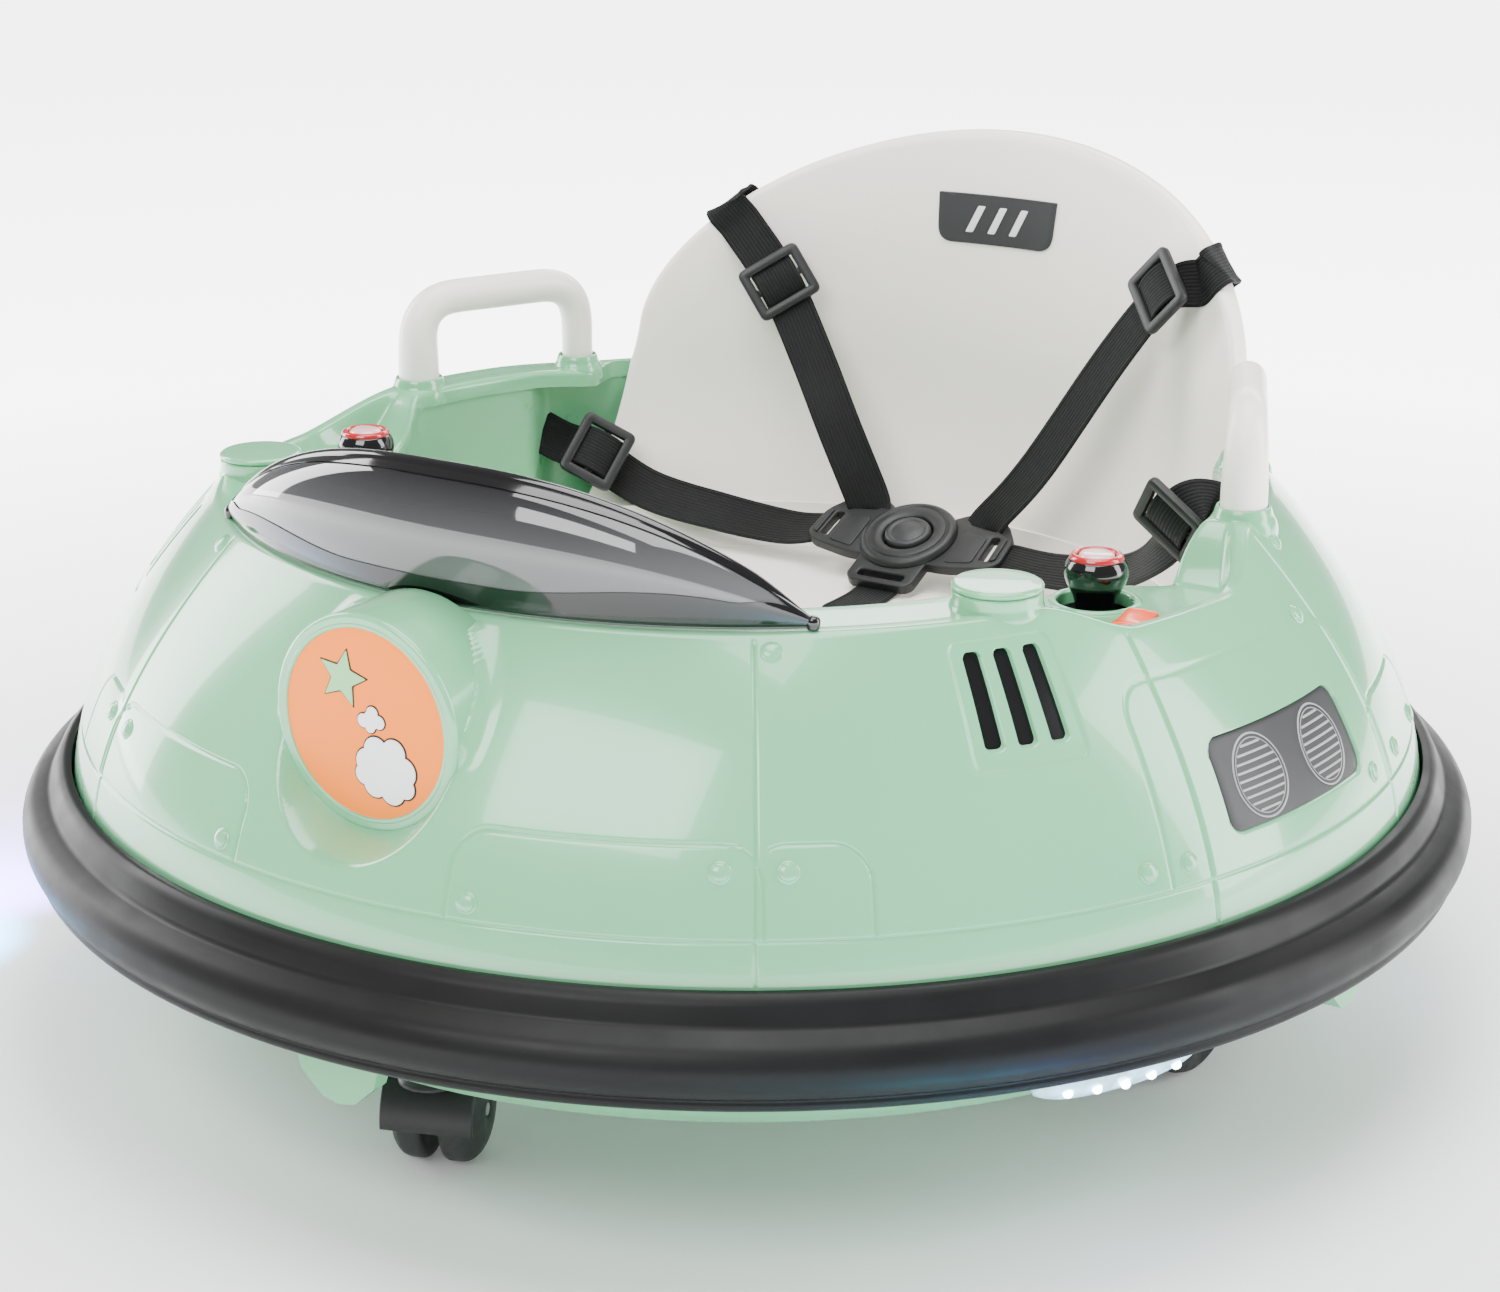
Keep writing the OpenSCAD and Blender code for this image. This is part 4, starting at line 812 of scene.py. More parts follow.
def smoke_material():
    """Smoked acrylic with a faint haze: darker toward the top, with a painted reflection that colours it
    lighter toward the bottom.
    """
    mat, nt, bs = nodes_of("smoke_lens")
    vec = coords(nt)
    sep = nt.nodes.new("ShaderNodeSeparateXYZ")
    link(nt, vec, sep.inputs[0])
    # painted reflection: the lower lens is coloured lighter grey, standing in for reflected light, and fades
    # to near black toward the top
    high = remap(nt, sep.outputs["Z"], 0.272, 0.325, 0.0, 1.0)
    haze = noise(nt, vec, 9.0, 2.0)
    low = blend_colour(nt, haze, (0.10, 0.102, 0.106), (0.16, 0.162, 0.166))
    link(nt, blend_colour(nt, high, low, (0.012, 0.012, 0.013)), bs.inputs["Base Color"])
    link(nt, remap(nt, noise(nt, vec, 30.0, 4.0), 0.3, 0.7, 0.03, 0.06), bs.inputs["Roughness"])
    bs.inputs["Transmission Weight"].default_value = 0.12
    bs.inputs["IOR"].default_value = 1.49
    bs.inputs["Coat Weight"].default_value = 0.6
    bs.inputs["Coat Roughness"].default_value = 0.02
    return mat


m_smoke = smoke_material()
shield_sheet("windshield_lens", -0.985, 0.985, 0.0, 1.0, -2.2, 0.0, m_smoke, "smoke_screen",
             nodes=("windshield",), edge=0.5)


# opaque border, deep along the base and at the two tips
def border_top(s):
    s = np.abs(s)
    return np.clip(0.13 + 0.20 * smooth(0.25, 0.9, s) + 0.45 * smooth(0.80, 0.97, s), 0, 0.9)


def band_foot(s):
    s = np.abs(s)
    return 0.985 - 0.10 * (1 - s ** 3) - 0.45 * smooth(0.86, 0.985, s)


shield_sheet("windshield_border", -0.99, 0.985, 0.0, border_top, 0.25, 0.75, m_gloss, "gloss_black", nv=10,
             nodes=("windshield_trim",))
shield_sheet("windshield_band", -0.985, 0.985, band_foot, 0.995, 0.25, 0.75, m_gloss, "gloss_black", nv=10)
# rolled rim along the top edge, thick in the middle and fading into the tips
s = np.linspace(-0.99, 0.985, 150)
path = shield_at(s, 1.0, -0.6)
ups = np.stack([0.35 * s, np.full_like(s, -0.75), np.full_like(s, 0.66)], -1)
sec = rounded([[-4.4, -2.8], [2.4, -2.8], [4.2, -0.4], [3.4, 2.6], [-2.0, 2.9], [-4.6, 0.9]], 1.8, 6)
wid = 0.35 + 0.65 * smooth(0.99, 0.82, np.abs(s))
rim_v, rim_f = sweep(path + [0, 0, -1.2], ups, sec, wid)
piece("windshield_rim", rim_v, rim_f, m_gloss, slot="gloss_black", sharp=50)
# small round stop where the rim meets the deck on the right, and its mate on the left
knob = Parts()
tip = shield_at(0.985, 0.5)
stop = revolve(rounded([[0, -3.5], [2.8, -3.5], [3.3, 0], [2.6, 2.2], [0, 2.8]], [0, 1, 1.5, 1.2, 0], 5), 40)
knob.add(*placed(stop, tip + [-1.5, 0, 0.4], [1, 0, 0], [0, 1, 0], [0, 0, 1]))
knob.mirrored()
knob.make("windshield_stops", m_gloss, slot="gloss_black")

# ------------------------------------------------------------------ badge

face_y = -304.35
FACING_FRONT = ([1, 0, 0], [0, 0, 1], [0, -1, 0])


def print_plastic(name, colour):
    return plastic(name, colour, 0.4, 0.0, 1600.0, 0.05, 0.03, shine=0.12, scuffs=0.06)


m_orange = print_plastic("badge_orange", (0.95, 0.215, 0.014))
m_ink = print_plastic("badge_ink", (0.02, 0.02, 0.022))
m_cloud = print_plastic("badge_white", (0.80, 0.80, 0.80))


def disc(r, x=0.0, z=0.0, y=face_y, thick=0.9, n=96, edge=0.3):
    vf = soft_prism(circle(r, n), 0, thick, edge, 3)
    return placed(vf, [x, y + thick, badge_z + z], *FACING_FRONT)


piece("badge_plate", *disc(badge_r - 2.2, n=144), m_orange, slot="orange_print", nodes=("badge_face",))
ring = np.array([[-2.5, 0], [0, 0], [0, 1.6], [-0.6, 2.1], [-2.0, 2.1], [-2.5, 1.6]]) + [badge_r, 0]
piece("badge_rim", *placed(revolve(rounded(ring, 0.35, 3), 160), [0, -302.95, badge_z], *FACING_FRONT),
      m_mint, slot="mint_shell", nodes=("badge_ring",))


def cloud_shape(parts, cx, cz, blobs, grow, y, thick):
    for i, (x, z, r) in enumerate(blobs):
        parts.add(*disc(r + grow, cx + x, cz + z, y - 0.012 * i, thick, 40, 0.12))


# a plain cloud picture: ink outlines under white puffs, and a plain star above them
big = [(0, 0, 9.5), (-9.5, 2, 6.4), (9.5, 1, 6.6), (-5, 7.8, 6.4), (4.5, 8.6, 6.2), (-6, -7, 6.2),
       (3.2, -8.4, 6.6), (10.2, -6, 5.0), (-11.6, -3.6, 4.8), (0, 3, 8)]
small = [(0, 0, 4.2), (-4.2, -0.8, 3.1), (4.1, -0.4, 3.0), (0.6, 3.2, 3.0), (-0.6, -3.2, 2.6)]
ink, puff = Parts(), Parts()
cloud_shape(ink, 11, -19, big, 0.75, face_y - 0.30, 0.35)
cloud_shape(ink, 4, 2.5, small, 0.6, face_y - 0.30, 0.35)
cloud_shape(puff, 11, -19, big, 0.0, face_y - 0.62, 0.35)
cloud_shape(puff, 4, 2.5, small, 0.0, face_y - 0.62, 0.35)


def star(cx, cz, r0, r1, turn, y, thick):
    pts = []
    for k in range(10):
        r, a = r1 if k % 2 else r0, math.radians(36 * k + turn)
        pts.append([r * math.sin(a), r * math.cos(a)])
    flat_star = soft_prism(rounded(pts, 0.8, 4), 0, thick, 0.12)
    return placed(flat_star, [cx, y + thick, badge_z + cz], *FACING_FRONT)


ink.add(*star(-11, 19, 14.2, 6.6, 12, face_y - 0.30, 0.35))
ink.make("badge_outline", m_ink, slot="gloss_black")
puff.make("badge_cloud", m_cloud, slot="pale_plastic")
m_star = print_plastic("badge_mint", (0.28, 0.58, 0.27))
piece("badge_star", *star(-11, 19, 13.1, 5.9, 12, face_y - 0.62, 0.35), m_star, slot="mint_shell")

# ------------------------------------------------------------------ vents, lamps and inlet

vents = Parts()
for sl in SLOTS:
    zz = np.linspace(222.5, 261.0, 24)
    tt = np.linspace(sl - 1.05, sl + 1.05, 9)
    top_s = polar(tt[:, None], skin_r(zz)[None] - 4.0, zz[None])
    bot_s = polar(tt[:, None], skin_r(zz)[None] - 6.6, zz[None])
    vents.add(*loft(np.concatenate([top_s, bot_s[:, ::-1]], 1)))
vents.mirrored()
m_vent = plastic("vent_black", (0.006, 0.006, 0.0065), 0.2, 0.0, 1500.0, 0.03, 0.1, shine=0.25)
vents.make("vent_louvres", m_vent, slot="gloss_black", nodes=("vent_inserts",))


def on_dome(t0, z0, arc_r, side):
    """A function from (across, up, off) to a point on the dome about an angle and a height."""
    def at(a, u, off):
        z = z0 + np.asarray(u, float)
        return polar(side * (t0 + np.degrees(np.asarray(a, float) / arc_r)), skin_r(z) + off, z)
    return at


lamp_plate, rims, bars = Parts(), Parts(), Parts()
lamp_outline = dense(rounded_rect(103.4, 37.8, 7.4, 8), 3.0)
a = np.radians(np.linspace(0, 360, 73)[:-1])
for side in (-1, 1):
    lamp_plate.add(*wrapped(lamp_outline, on_dome(LAMP_T, LAMP_Z, LAMP_ARC, side), -3.4, -1.1, 0.5))
    for tc in (77.6, 87.0):
        at = on_dome(tc, 193.2, LAMP_ARC, side)
        # outer light ring and inner ring, laid on the dome
        for r_a, r_b, lift in ((17.2, 16.5, -0.6), (15.3, 14.9, -0.8)):
            sec = ((r_a, -1.6), (r_a, lift - 0.2), (r_a - 0.25, lift), (r_b + 0.25, lift), (r_b, lift - 0.2),
                   (r_b, -1.6))
            rims.add(*loft(np.stack([at(rr * np.sin(a), rr * np.cos(a), off) for rr, off in sec], 1),
                           closed=True))
        # bars across the grille
        for h in np.arange(-4, 5) * 3.25:
            half = math.sqrt(max(0.1, 14.6 ** 2 - h ** 2))
            xs = np.linspace(-half, half, 15)
            sec = ((-1.6, -0.42), (-0.85, -0.42), (-0.72, -0.2), (-0.72, 0.2), (-0.85, 0.42), (-1.6, 0.42))
            bars.add(*loft(np.stack([at(xs, np.full_like(xs, h + dz), off) for off, dz in sec], 1)))
lamp_plate.make("lamp_panel", m_grey, slot="dark_grey_plastic", nodes=("lamp_panels",))
m_lines = plastic("lamp_lines", (0.30, 0.30, 0.30), 0.35, 0.0, 1400.0, 0.05, 0.05)
rims.make("lamp_rings", m_lines, slot="pale_plastic", nodes=("lamp_grilles",))
bars.make("lamp_bars", m_lines, slot="pale_plastic")

# ------------------------------------------------------------------ joysticks and rocker

px, py = stick_xy
knob_line = rounded([[0, 224], [6.0, 224], [6.5, 232], [8.6, 239], [9.0, 245], [10.2, 251.5], [13.6, 257.6],
                     [15.0, 262.4], [14.3, 266.4], [12.9, 269.0], [12.2, 269.5], [8.9, 269.5], [8.9, 262],
                     [0, 262]], [0, 1, 4, 3, 4, 5, 5, 4, 2.5, 0.7, 0.4, 0.3, 0.3, 0], 7)
ring_line = rounded([[8.9, 268.8], [12.3, 268.8], [12.7, 269.9], [12.0, 271.3], [10.6, 271.9], [9.3, 271.5],
                     [8.9, 270.6]], 0.5, 4)
button_line = rounded([[0, 267.4], [8.45, 267.4], [8.45, 270.8], [7.2, 272.0], [4.4, 272.5], [0, 272.6]],
                      [0, 0.3, 0.8, 1.2, 2, 0], 6)
sticks, ringp, domep = revolve(knob_line, 128), revolve(ring_line, 128), revolve(button_line, 96)
for side, nm in ((1, "right_stick"), (-1, "left_stick")):
    for (v, f), part, mat, slot, body_name, cad in (
            (sticks, "knob", m_gloss, "gloss_black", nm, nm),
            (ringp, "ring", m_red, "red_plastic", nm, nm + "_ring"),
            (domep, "button", m_red_painted_highlight, "pale_plastic", nm + "_button", nm + "_button")):
        piece(f"{nm.replace('stick', 'joystick')}_{part}", v + [side * px, py, 0], f, mat, body=body_name,
              slot=slot, nodes=(cad,), sharp=50)
grommets = Parts()
lip_line = rounded([[21.6, 247.9], [21.6, 248.8], [20.4, 249.9], [18.6, 249.9], [17.7, 249.0], [17.6, 243],
                    [18.6, 243], [19.0, 247.9]], [0.3, 0.8, 0.8, 0.6, 0.6, 0.3, 0.3, 0.3], 4)
grommets.add(*revolve(lip_line, 96, (px, py)))
grommets.mirrored()
grommets.make("joystick_grommets", m_mint, slot="mint_shell")
bevel(frame["nodes"]["stick_bases"], 0.5)

rx, ry = rock_xy
outer = rounded_rect(21, 30, 6, 8)
inner = rounded_rect(16.4, 25.6, 4.6, 8)
rings = [level(outer, 247.8), level(outer, 249.3), level(outer * 0.96, 250.1), level(inner * 1.04, 250.1),
         level(inner, 249.5), level(inner, 240.0)]
well_floor = list(range(5 * len(outer), 6 * len(outer)))
piece("rocker_frame", np.concatenate(rings) + [rx, ry, 0],
      quads(len(rings), len(outer), wrap_v=True) + [well_floor], m_black, slot="black_plastic",
      nodes=("rocker_bezel",), sharp=40)
rock_prof = rounded([[-10.9, -2.5], [10.9, -2.5], [11.5, 3.6], [10.0, 7.6], [5.2, 6.9], [-4.0, 6.3],
                     [-9.6, 7.6], [-11.3, 3.6]], [0.5, 0.5, 2.0, 2.2, 5, 5, 2.2, 2.0], 6)
tilt = math.radians(6)
rings = []
for x, k in ((-7.6, 0.86), (-7.45, 0.92), (-7.0, 0.965), (-6.2, 0.99), (0, 1.0), (6.2, 0.99), (7.0, 0.965),
             (7.45, 0.92), (7.6, 0.86)):
    a, b = rock_prof[:, 0] * k, rock_prof[:, 1] * k + 0.35 * (abs(x) < 1)
    rings.append(np.stack([np.full(len(a), rx + x), ry + a * math.cos(tilt) - b * math.sin(tilt),
                           247.0 + a * math.sin(tilt) + b * math.cos(tilt)], -1))
piece("rocker_cap", *loft(rings), m_rocker, body="rocker", slot="orange_plastic", nodes=("rocker",), sharp=40)

# ------------------------------------------------------------------ seat

def seat_r(z):
    z = np.asarray(z, float)
    lean = 12 * np.logaddexp(0, (z - 274) / 12)
    return 249.6 + lean * 0.149 - 24.6 * (np.clip(272 - z, 0, None) / 100) ** 1.8


def on_seat(x, z, off):
    r = seat_r(z) + off
    return np.stack(np.broadcast_arrays(x, np.sqrt(np.maximum(r * r - np.asarray(x) ** 2, 1)), z), -1)


# backrest: an arch on a slightly inclined cylinder, straight below ARCH_Z
PAN_TOP, SEAT_FOOT, SEAT_HALF, ARCH_Z = 172.0, 171.0, 185, 290
arch_h = node_box("seat_shell")[1][2] - ARCH_Z
right = [[SEAT_HALF + (ARCH_Z - z) * 0.1, z] for z in np.linspace(SEAT_FOOT, 288, 14)]
right += [[SEAT_HALF * math.cos(a), ARCH_Z + arch_h * math.sin(a)]
          for a in np.linspace(0.01, math.pi / 2, 44)]
right = np.array(right)
bottom = np.stack([np.linspace(-right[0][0], right[0][0], 26)[1:-1], np.full(24, SEAT_FOOT)], -1)
arch = np.concatenate([right, (right[:-1] * [-1, 1])[::-1], bottom])
tang = unit(np.roll(arch, -1, 0) - np.roll(arch, 1, 0))
outn = np.stack([tang[:, 1], -tang[:, 0]], -1)
outn[-24:] = [0, -1]
lip = 4.0 + 9.0 * smooth(270, 292, arch[:, 1])
spine = np.stack([arch[:, 0] * 0.0, np.clip(arch[:, 1], 200, 330)], -1)
rings = []


def seat_ring(p, off):
    rings.append(on_seat(p[:, 0], p[:, 1], off))


# back face, its rounded edge, the lip over the top, the step down from it and the front face
for k in np.concatenate([np.linspace(0.0, 0.9, 16), [0.95]]):
    seat_ring(spine + (arch - outn * 6 - spine) * k, 0.0)
for a, b in ((-6.0, 0.0), (-4.0, 0.05), (-2.4, 0.45), (-1.1, 1.3), (-0.3, 2.6), (0.0, 4.2)):
    seat_ring(arch + outn * a, b * np.minimum(1, (lip - 1) / 6))
for a, b in ((0.0, 0.5), (0.0, 0.86), (-0.4, 0.94), (-1.4, 0.99), (-2.6, 1.0), (-3.6, 0.96), (-4.1, 0.86),
             (-4.2, 0.6)):
    seat_ring(arch + outn * a, np.maximum(lip * b, 3.0 * b + 1))
for a, b in ((-4.4, 5.2), (-5.2, 4.2), (-7.5, 4.0)):
    seat_ring(arch + outn * a, np.minimum(lip, b))
for k in np.linspace(0.94, 0.0, 12):
    seat_ring(spine + (arch - outn * 6 - spine) * k, 4.0)
seat = Parts()
seat.add(*loft(np.stack(rings), cap=False))
# pan with a rolled front edge and an apron, and a cove into the back
PAN_START, PAN_END = math.radians(31), math.radians(149)
pan_line = [[184, 24], [184, 52], [195.5, 66], [195.5, 108]]
pan_line += [[224.2 * math.cos(a), 224.2 * math.sin(a)] for a in np.linspace(PAN_START, PAN_END, 48)]
pan_line += [[-195.5, 108], [-195.5, 66], [-184, 52], [-184, 24]]
seat.add(*soft_prism(pan_line, 168, PAN_TOP, 1.4, 4))
roll = rounded([[60, PAN_TOP + 0.2], [31, PAN_TOP + 0.2], [21.5, 170.8], [20.4, 162], [20.4, 92], [23.8, 92],
                [23.8, 160], [27, 167.5], [60, 168]], [0.2, 6, 6, 10, 1.5, 1.5, 8, 5, 0.3], 7)
xs = np.concatenate([[-146, -145.7, -145], np.linspace(-140, 140, 9), [145, 145.7, 146]])
seat.add(*loft([np.c_[np.full(len(roll), x), roll] for x in xs]))
cove = np.array([[224.4, 193], [223.2, 184], [219.4, 177.2], [213.5, 173.6], [205, 172.2], [205, 169],
                 [226, 169], [226.5, 193]])
seat.add(*loft([np.stack([cove[:, 0] * math.cos(a), cove[:, 0] * math.sin(a), cove[:, 1]], -1)
                for a in np.linspace(PAN_START, PAN_END, 60)]))
seat.make("seat", m_cream, slot="cream_plastic", nodes=("seat_shell",), sharp=60)

# plate on the backrest: a plain dark label with three slanted bars
LABEL_Z = 355.5
lab = dense(rounded([[-37.0, 14.2], [-35.5, -13.0], [35.5, -13.0], [37.0, 14.2]], [0.8, 9, 9, 0.8], 8), 2.5)
piece("seat_plate", *wrapped(lab, lambda a, u, off: on_seat(a, LABEL_Z + u, -off), 0.25, 1.2), m_grey,
      slot="dark_grey_plastic", nodes=("seat_label",), sharp=40)
bars = Parts()
slant = rounded([[-6.2, -7.4], [-1.2, -7.4], [6.2, 7.4], [1.2, 7.4]], 0.9, 4) * [0.9, 1]
for cx in (-13.5, 0.0, 13.5):
    bars.add(*wrapped(slant, lambda a, u, off: on_seat(a + cx, LABEL_Z + 0.6 + u, -off), 1.0, 1.45, 0.2, 6))
bars.make("seat_plate_bars", m_white_print, slot="pale_plastic", sharp=40)

# ------------------------------------------------------------------ webbing

def webbing_material():
    """Woven polyester webbing: ribs along the strap, a twill across them, and lighter faded patches here and
    there.
    """
    mat, nt, bs = nodes_of("webbing_weave")
    uv = nt.nodes.new("ShaderNodeUVMap")
    uv.uv_map = "web"

    def wave(scale_x, scale_y, profile="SIN"):
        mp = nt.nodes.new("ShaderNodeMapping")
        mp.inputs["Scale"].default_value = (scale_x, scale_y, 1)
        link(nt, uv.outputs["UV"], mp.inputs["Vector"])
        w = nt.nodes.new("ShaderNodeTexWave")
        w.wave_profile = profile
        w.inputs["Scale"].default_value = 1.0
        w.inputs["Distortion"].default_value = 0.25
        w.inputs["Detail"].default_value = 1.0
        link(nt, mp.outputs["Vector"], w.inputs["Vector"])
        return w.outputs["Fac"]

    across, twill = wave(0.0, 0.24), wave(0.16, 0.2)
    ribs, diagonals = (math_node(nt, "MULTIPLY", w, 0.6) for w in (across, twill))
    cloth = math_node(nt, "ADD", ribs, diagonals)
    fuzz = noise(nt, coords(nt), 1200.0, 4.0, 0.7)
    fade = noise(nt, coords(nt), 30.0, 3.0)
    base = blend_colour(nt, cloth, (0.003, 0.003, 0.0032), (0.009, 0.009, 0.0095))
    base = blend_colour(nt, remap(nt, fade, 0.4, 0.75, 0.0, 0.35), base, (0.012, 0.012, 0.013))
    link(nt, base, bs.inputs["Base Color"])
    link(nt, remap(nt, fuzz, 0.3, 0.7, 0.62, 0.82), bs.inputs["Roughness"])
    nrm = bump(nt, fuzz, 0.3, 0.0001)
    link(nt, bump(nt, cloth, 0.8, 0.0004, nrm), bs.inputs["Normal"])
    bs.inputs["Sheen Weight"].default_value = 0.06
    bs.inputs["Specular IOR Level"].default_value = 0.2
    bs.inputs["Sheen Roughness"].default_value = 0.4
    return mat


m_web = webbing_material()
WEB_W, WEB_T = 25.0, 1.6
# rounded edges with a raised selvedge on each side
half_w, dip = WEB_W / 2, WEB_T - 0.22
web_sec = rounded([[-half_w, 0], [half_w, 0], [half_w, WEB_T], [half_w - 2.2, WEB_T], [half_w - 2.8, dip],
                   [-half_w + 2.8, dip], [-half_w + 2.2, WEB_T], [-half_w, WEB_T]],
                  [0.6, 0.6, 0.6, 0.4, 0.4, 0.4, 0.4, 0.6], 3)


def web(name, runs, nodes=(), k=10, section=web_sec):
    """Straps that lie along smooth curves, all in one mesh, with a map of width and length for the weave."""
    parts, uvs = Parts(), []
    for pts, ups in runs:
        path, up = (catmull(pts, k), catmull(ups, k)) if k else (pts, ups)
        v, f = sweep(path, up, section)
        width, length = np.broadcast_arrays(section[None, :, 0], length_along(path)[:, None])
        uvs.append(np.stack([width, length], -1).reshape(-1, 2))
        parts.add(v, f)
    ob = parts.make(name, m_web, slot="webbing", nodes=nodes, weld=False, sharp=50)
    uv = np.concatenate(uvs)
    layer = ob.data.uv_layers.new(name="web")
    idx = np.zeros(len(ob.data.loops), int)
    ob.data.loops.foreach_get("vertex_index", idx)
    layer.data.foreach_set("uv", uv[idx].ravel())
    return ob


def over_edge(p0, p1):
    """Points that carry a strap from p0 past p1, over the backrest's lip and a little way down behind it."""
    d = unit(np.array([p1[0] - p0[0], p1[2] - p0[2]]))
    x, z = p1[0], p1[2]
    while (x / SEAT_HALF) ** 2 + ((z - ARCH_Z) / arch_h) ** 2 < 1:
        x, z = x + d[0] * 0.5, z + d[1] * 0.5
    n = unit(np.array([x / SEAT_HALF ** 2, (z - ARCH_Z) / arch_h ** 2]))
    turn = rounded([[-11, -0.6], [1.6, -0.6], [1.6, 14.0], [-16, 14.0]], [0, 3.5, 3.5, 0], 5, closed=False)
    fine = subdivided(turn, 1.5)
    step = unit(np.gradient(fine, axis=0))
    pts, ups = [], []
    for (a, b), (da, db) in zip(fine, step):
        p = on_seat(x + n[0] * a, z + n[1] * a, b)
        radial = unit(np.array([p[0], p[1], 0.0]))
        q = on_seat(x + n[0] * (a + 1), z + n[1] * (a + 1), b)
        along = unit(q - p)
        pts.append(p)
        ups.append(unit(along * db - radial * da))
    return np.array(pts), np.array(ups)


def shoulder(points, ups):
    """A shoulder strap as a dense path: over the lip, then down the curve through the given points."""
    over_p, over_u = over_edge(points[1], points[0])
    main_p = catmull([over_p[0]] + [list(p) for p in points[1:]], 12)
    main_u = catmull([list(over_u[0])] + [list(u) for u in ups[1:]], 12)
    path = np.concatenate([over_p[::-1], main_p[1:]])
    up = np.concatenate([over_u[::-1], main_u[1:]])
    return relaxed(path, 2), relaxed(up, 2)


# each strap: points along it, then the way its face looks at each point
web("shoulder_webbing", [
    shoulder([[-140, 212, 346], [-113, 213, 317], [-86, 203, 281], [-59, 190, 244], [-37, 185, 207],
              [-35.5, 184, 200.5]],
             [[.4, -.8, .3], [.4, -.8, .3], [.3, -.85, .4], [.2, -.8, .5], [0, -.7, .7], [0, -.8, .5]]),
    shoulder([[146, 205, 349], [127, 213, 338], [101, 206, 302], [66, 190, 240], [41, 187, 208],
              [38.5, 185, 201]],
             [[-.5, -.8, .3], [-.4, -.8, .3], [-.3, -.85, .4], [-.2, -.8, .5], [0, -.7, .7], [0, -.8, .5]])],
    nodes=("shoulder_straps",), k=0)
web("waist_webbing", [
    ([[-226, 122.5, 239], [-210, 131, 229], [-194, 141, 221], [-165, 155, 201], [-124, 167, 191],
      [-80, 169, 188], [-56, 169, 191.6]],
     [[.6, -.6, .5], [.6, -.6, .5], [.6, -.6, .5], [.4, -.6, .6], [.2, -.6, .7], [0, -.5, .8],
      [0, -.41, .91]]),
    ([[226, 95, 246], [214, 86, 266], [200, 82, 261], [186, 95, 238], [143, 136, 206], [92, 158, 193],
      [56, 168, 191.6]],
     [[-.7, .2, .2], [-.3, -.7, .8], [0, -1, .2], [-.3, -.8, .3], [-.4, -.6, .7], [-.1, -.5, .8],
      [0, -.41, .91]])],
    nodes=("waist_straps",))
web("crotch_webbing", [
    ([[0, 137.5, 176.6], [0, 132, 173.9], [0, 122, 172.4], [0.4, 108, 172.3], [0, 98, 172.2],
      [0, 94.5, 171.2], [0, 92.6, 167.6]],
     [[0, -.45, .89], [0, -.4, .9], [0, -.1, 1], [0, 0, 1], [0, .1, 1], [0, -.6, .8], [0, -1, .1]])],
    nodes=("crotch_strap",))

# sliders: a rounded frame, a cross bar, and the webbing that bulges over the bar
sliders = Parts()
bulges = []
bulge = [(-12.5, 2.4), (-10.8, 3.4), (-8.2, 5.0), (-4.6, 6.2), (0, 6.6), (4.6, 6.2), (8.2, 5.0), (10.8, 3.4),
         (12.5, 2.4)]
# place, facing and run of the strap at each slider
for p, up, run in (([-113, 213, 317], [.4, -.8, .3], [-54, 9, 65]),
                   ([126.4, 211.6, 338.4], [-.4, -.8, .3], [45, -1, 47]),
                   ([-188.4, 136.6, 223], [.6, -.6, .5], [-45, -24, 28]),
                   ([197, 82.5, 258], [-.3, -.93, -.3], [14, -13, 23])):
    z = unit(up)
    x = unit(np.cross(run, z))
    y = np.cross(z, x)
    place = (p, x, y, z)
    sliders.add(*placed(ring_frame(38, 32, 4.5, 5.6, 3.0, 7.6, 1.3), *place))
    sliders.add(*placed(soft_prism(rounded_rect(30, 4.2, 1.2, 3), 3.6, 5.0, 0.5), *place))
    bulges.append(([np.array(p) + y * a + z * b for a, b in bulge], [z + y * 0.06 * a for a, b in bulge]))
sliders.make("strap_sliders", m_buckle, slot="dark_grey_plastic", nodes=("strap_adjusters",), sharp=40)
web("slider_webbing", bulges, k=4, section=web_sec * [0.96, 0.9])

# ------------------------------------------------------------------ buckle

buckle_p, tilt = np.array([0.0, 167.0, 194.0]), math.radians(24)
B = (buckle_p, [1, 0, 0], [0, math.cos(tilt), math.sin(tilt)], [0, -math.sin(tilt), math.cos(tilt)])
buckle = Parts()
arm = rounded([[16, -19], [30, -19.4], [55, -14], [60.4, -8.5], [59, 12], [50.5, 24], [28, 28.6], [17, 20],
               [12, 10], [12, -10]], [2, 6, 5, 4, 4, 5, 7, 4, 2, 2], 6)
slots = [rounded([[47.6, -9], [52.6, -8.4], [51.6, 11.4], [46.8, 11.4]], 1.4, 4),
         rounded([[27, 22.3], [30, 18.4], [45.6, 16.0], [48.4, 18.6], [46, 21.2], [31, 24.4]], 1.2, 4)]
av, af = plate([arm] + slots, -4, 2.2, 1.0)
buckle.add(*placed((av, af), *B))
buckle.add(*placed((av * [-1, 1, 1], [q[::-1] for q in af]), *B))
low = rounded([[-20.4, -15], [-20.4, -36.5], [-16.5, -40.4], [16.5, -40.4], [20.4, -36.5], [20.4, -15]],
              2.5, 5)
buckle.add(*placed(plate([low, rounded_rect(28, 5, 1.6, 4) + [0, -33.6]], -4, 2.2, 1.0), *B))
hub = rounded([[0, -5.4], [25, -5.4], [27.5, -3.2], [27.5, 3.4], [25.8, 5.6], [23.4, 6.1], [22.6, 5.4],
               [21.8, 5.4], [21.2, 6.2], [18.0, 6.7], [14.9, 5.8], [14.0, 4.6], [14.0, -4.4], [0, -4.4]],
              [0, 1.5, 1.5, 1.6, 1.5, 0.4, 0.3, 0.3, 0.4, 2.2, 1, 0.4, 0.3, 0], 5)
buckle.add(*placed(revolve(hub, 120), *B))
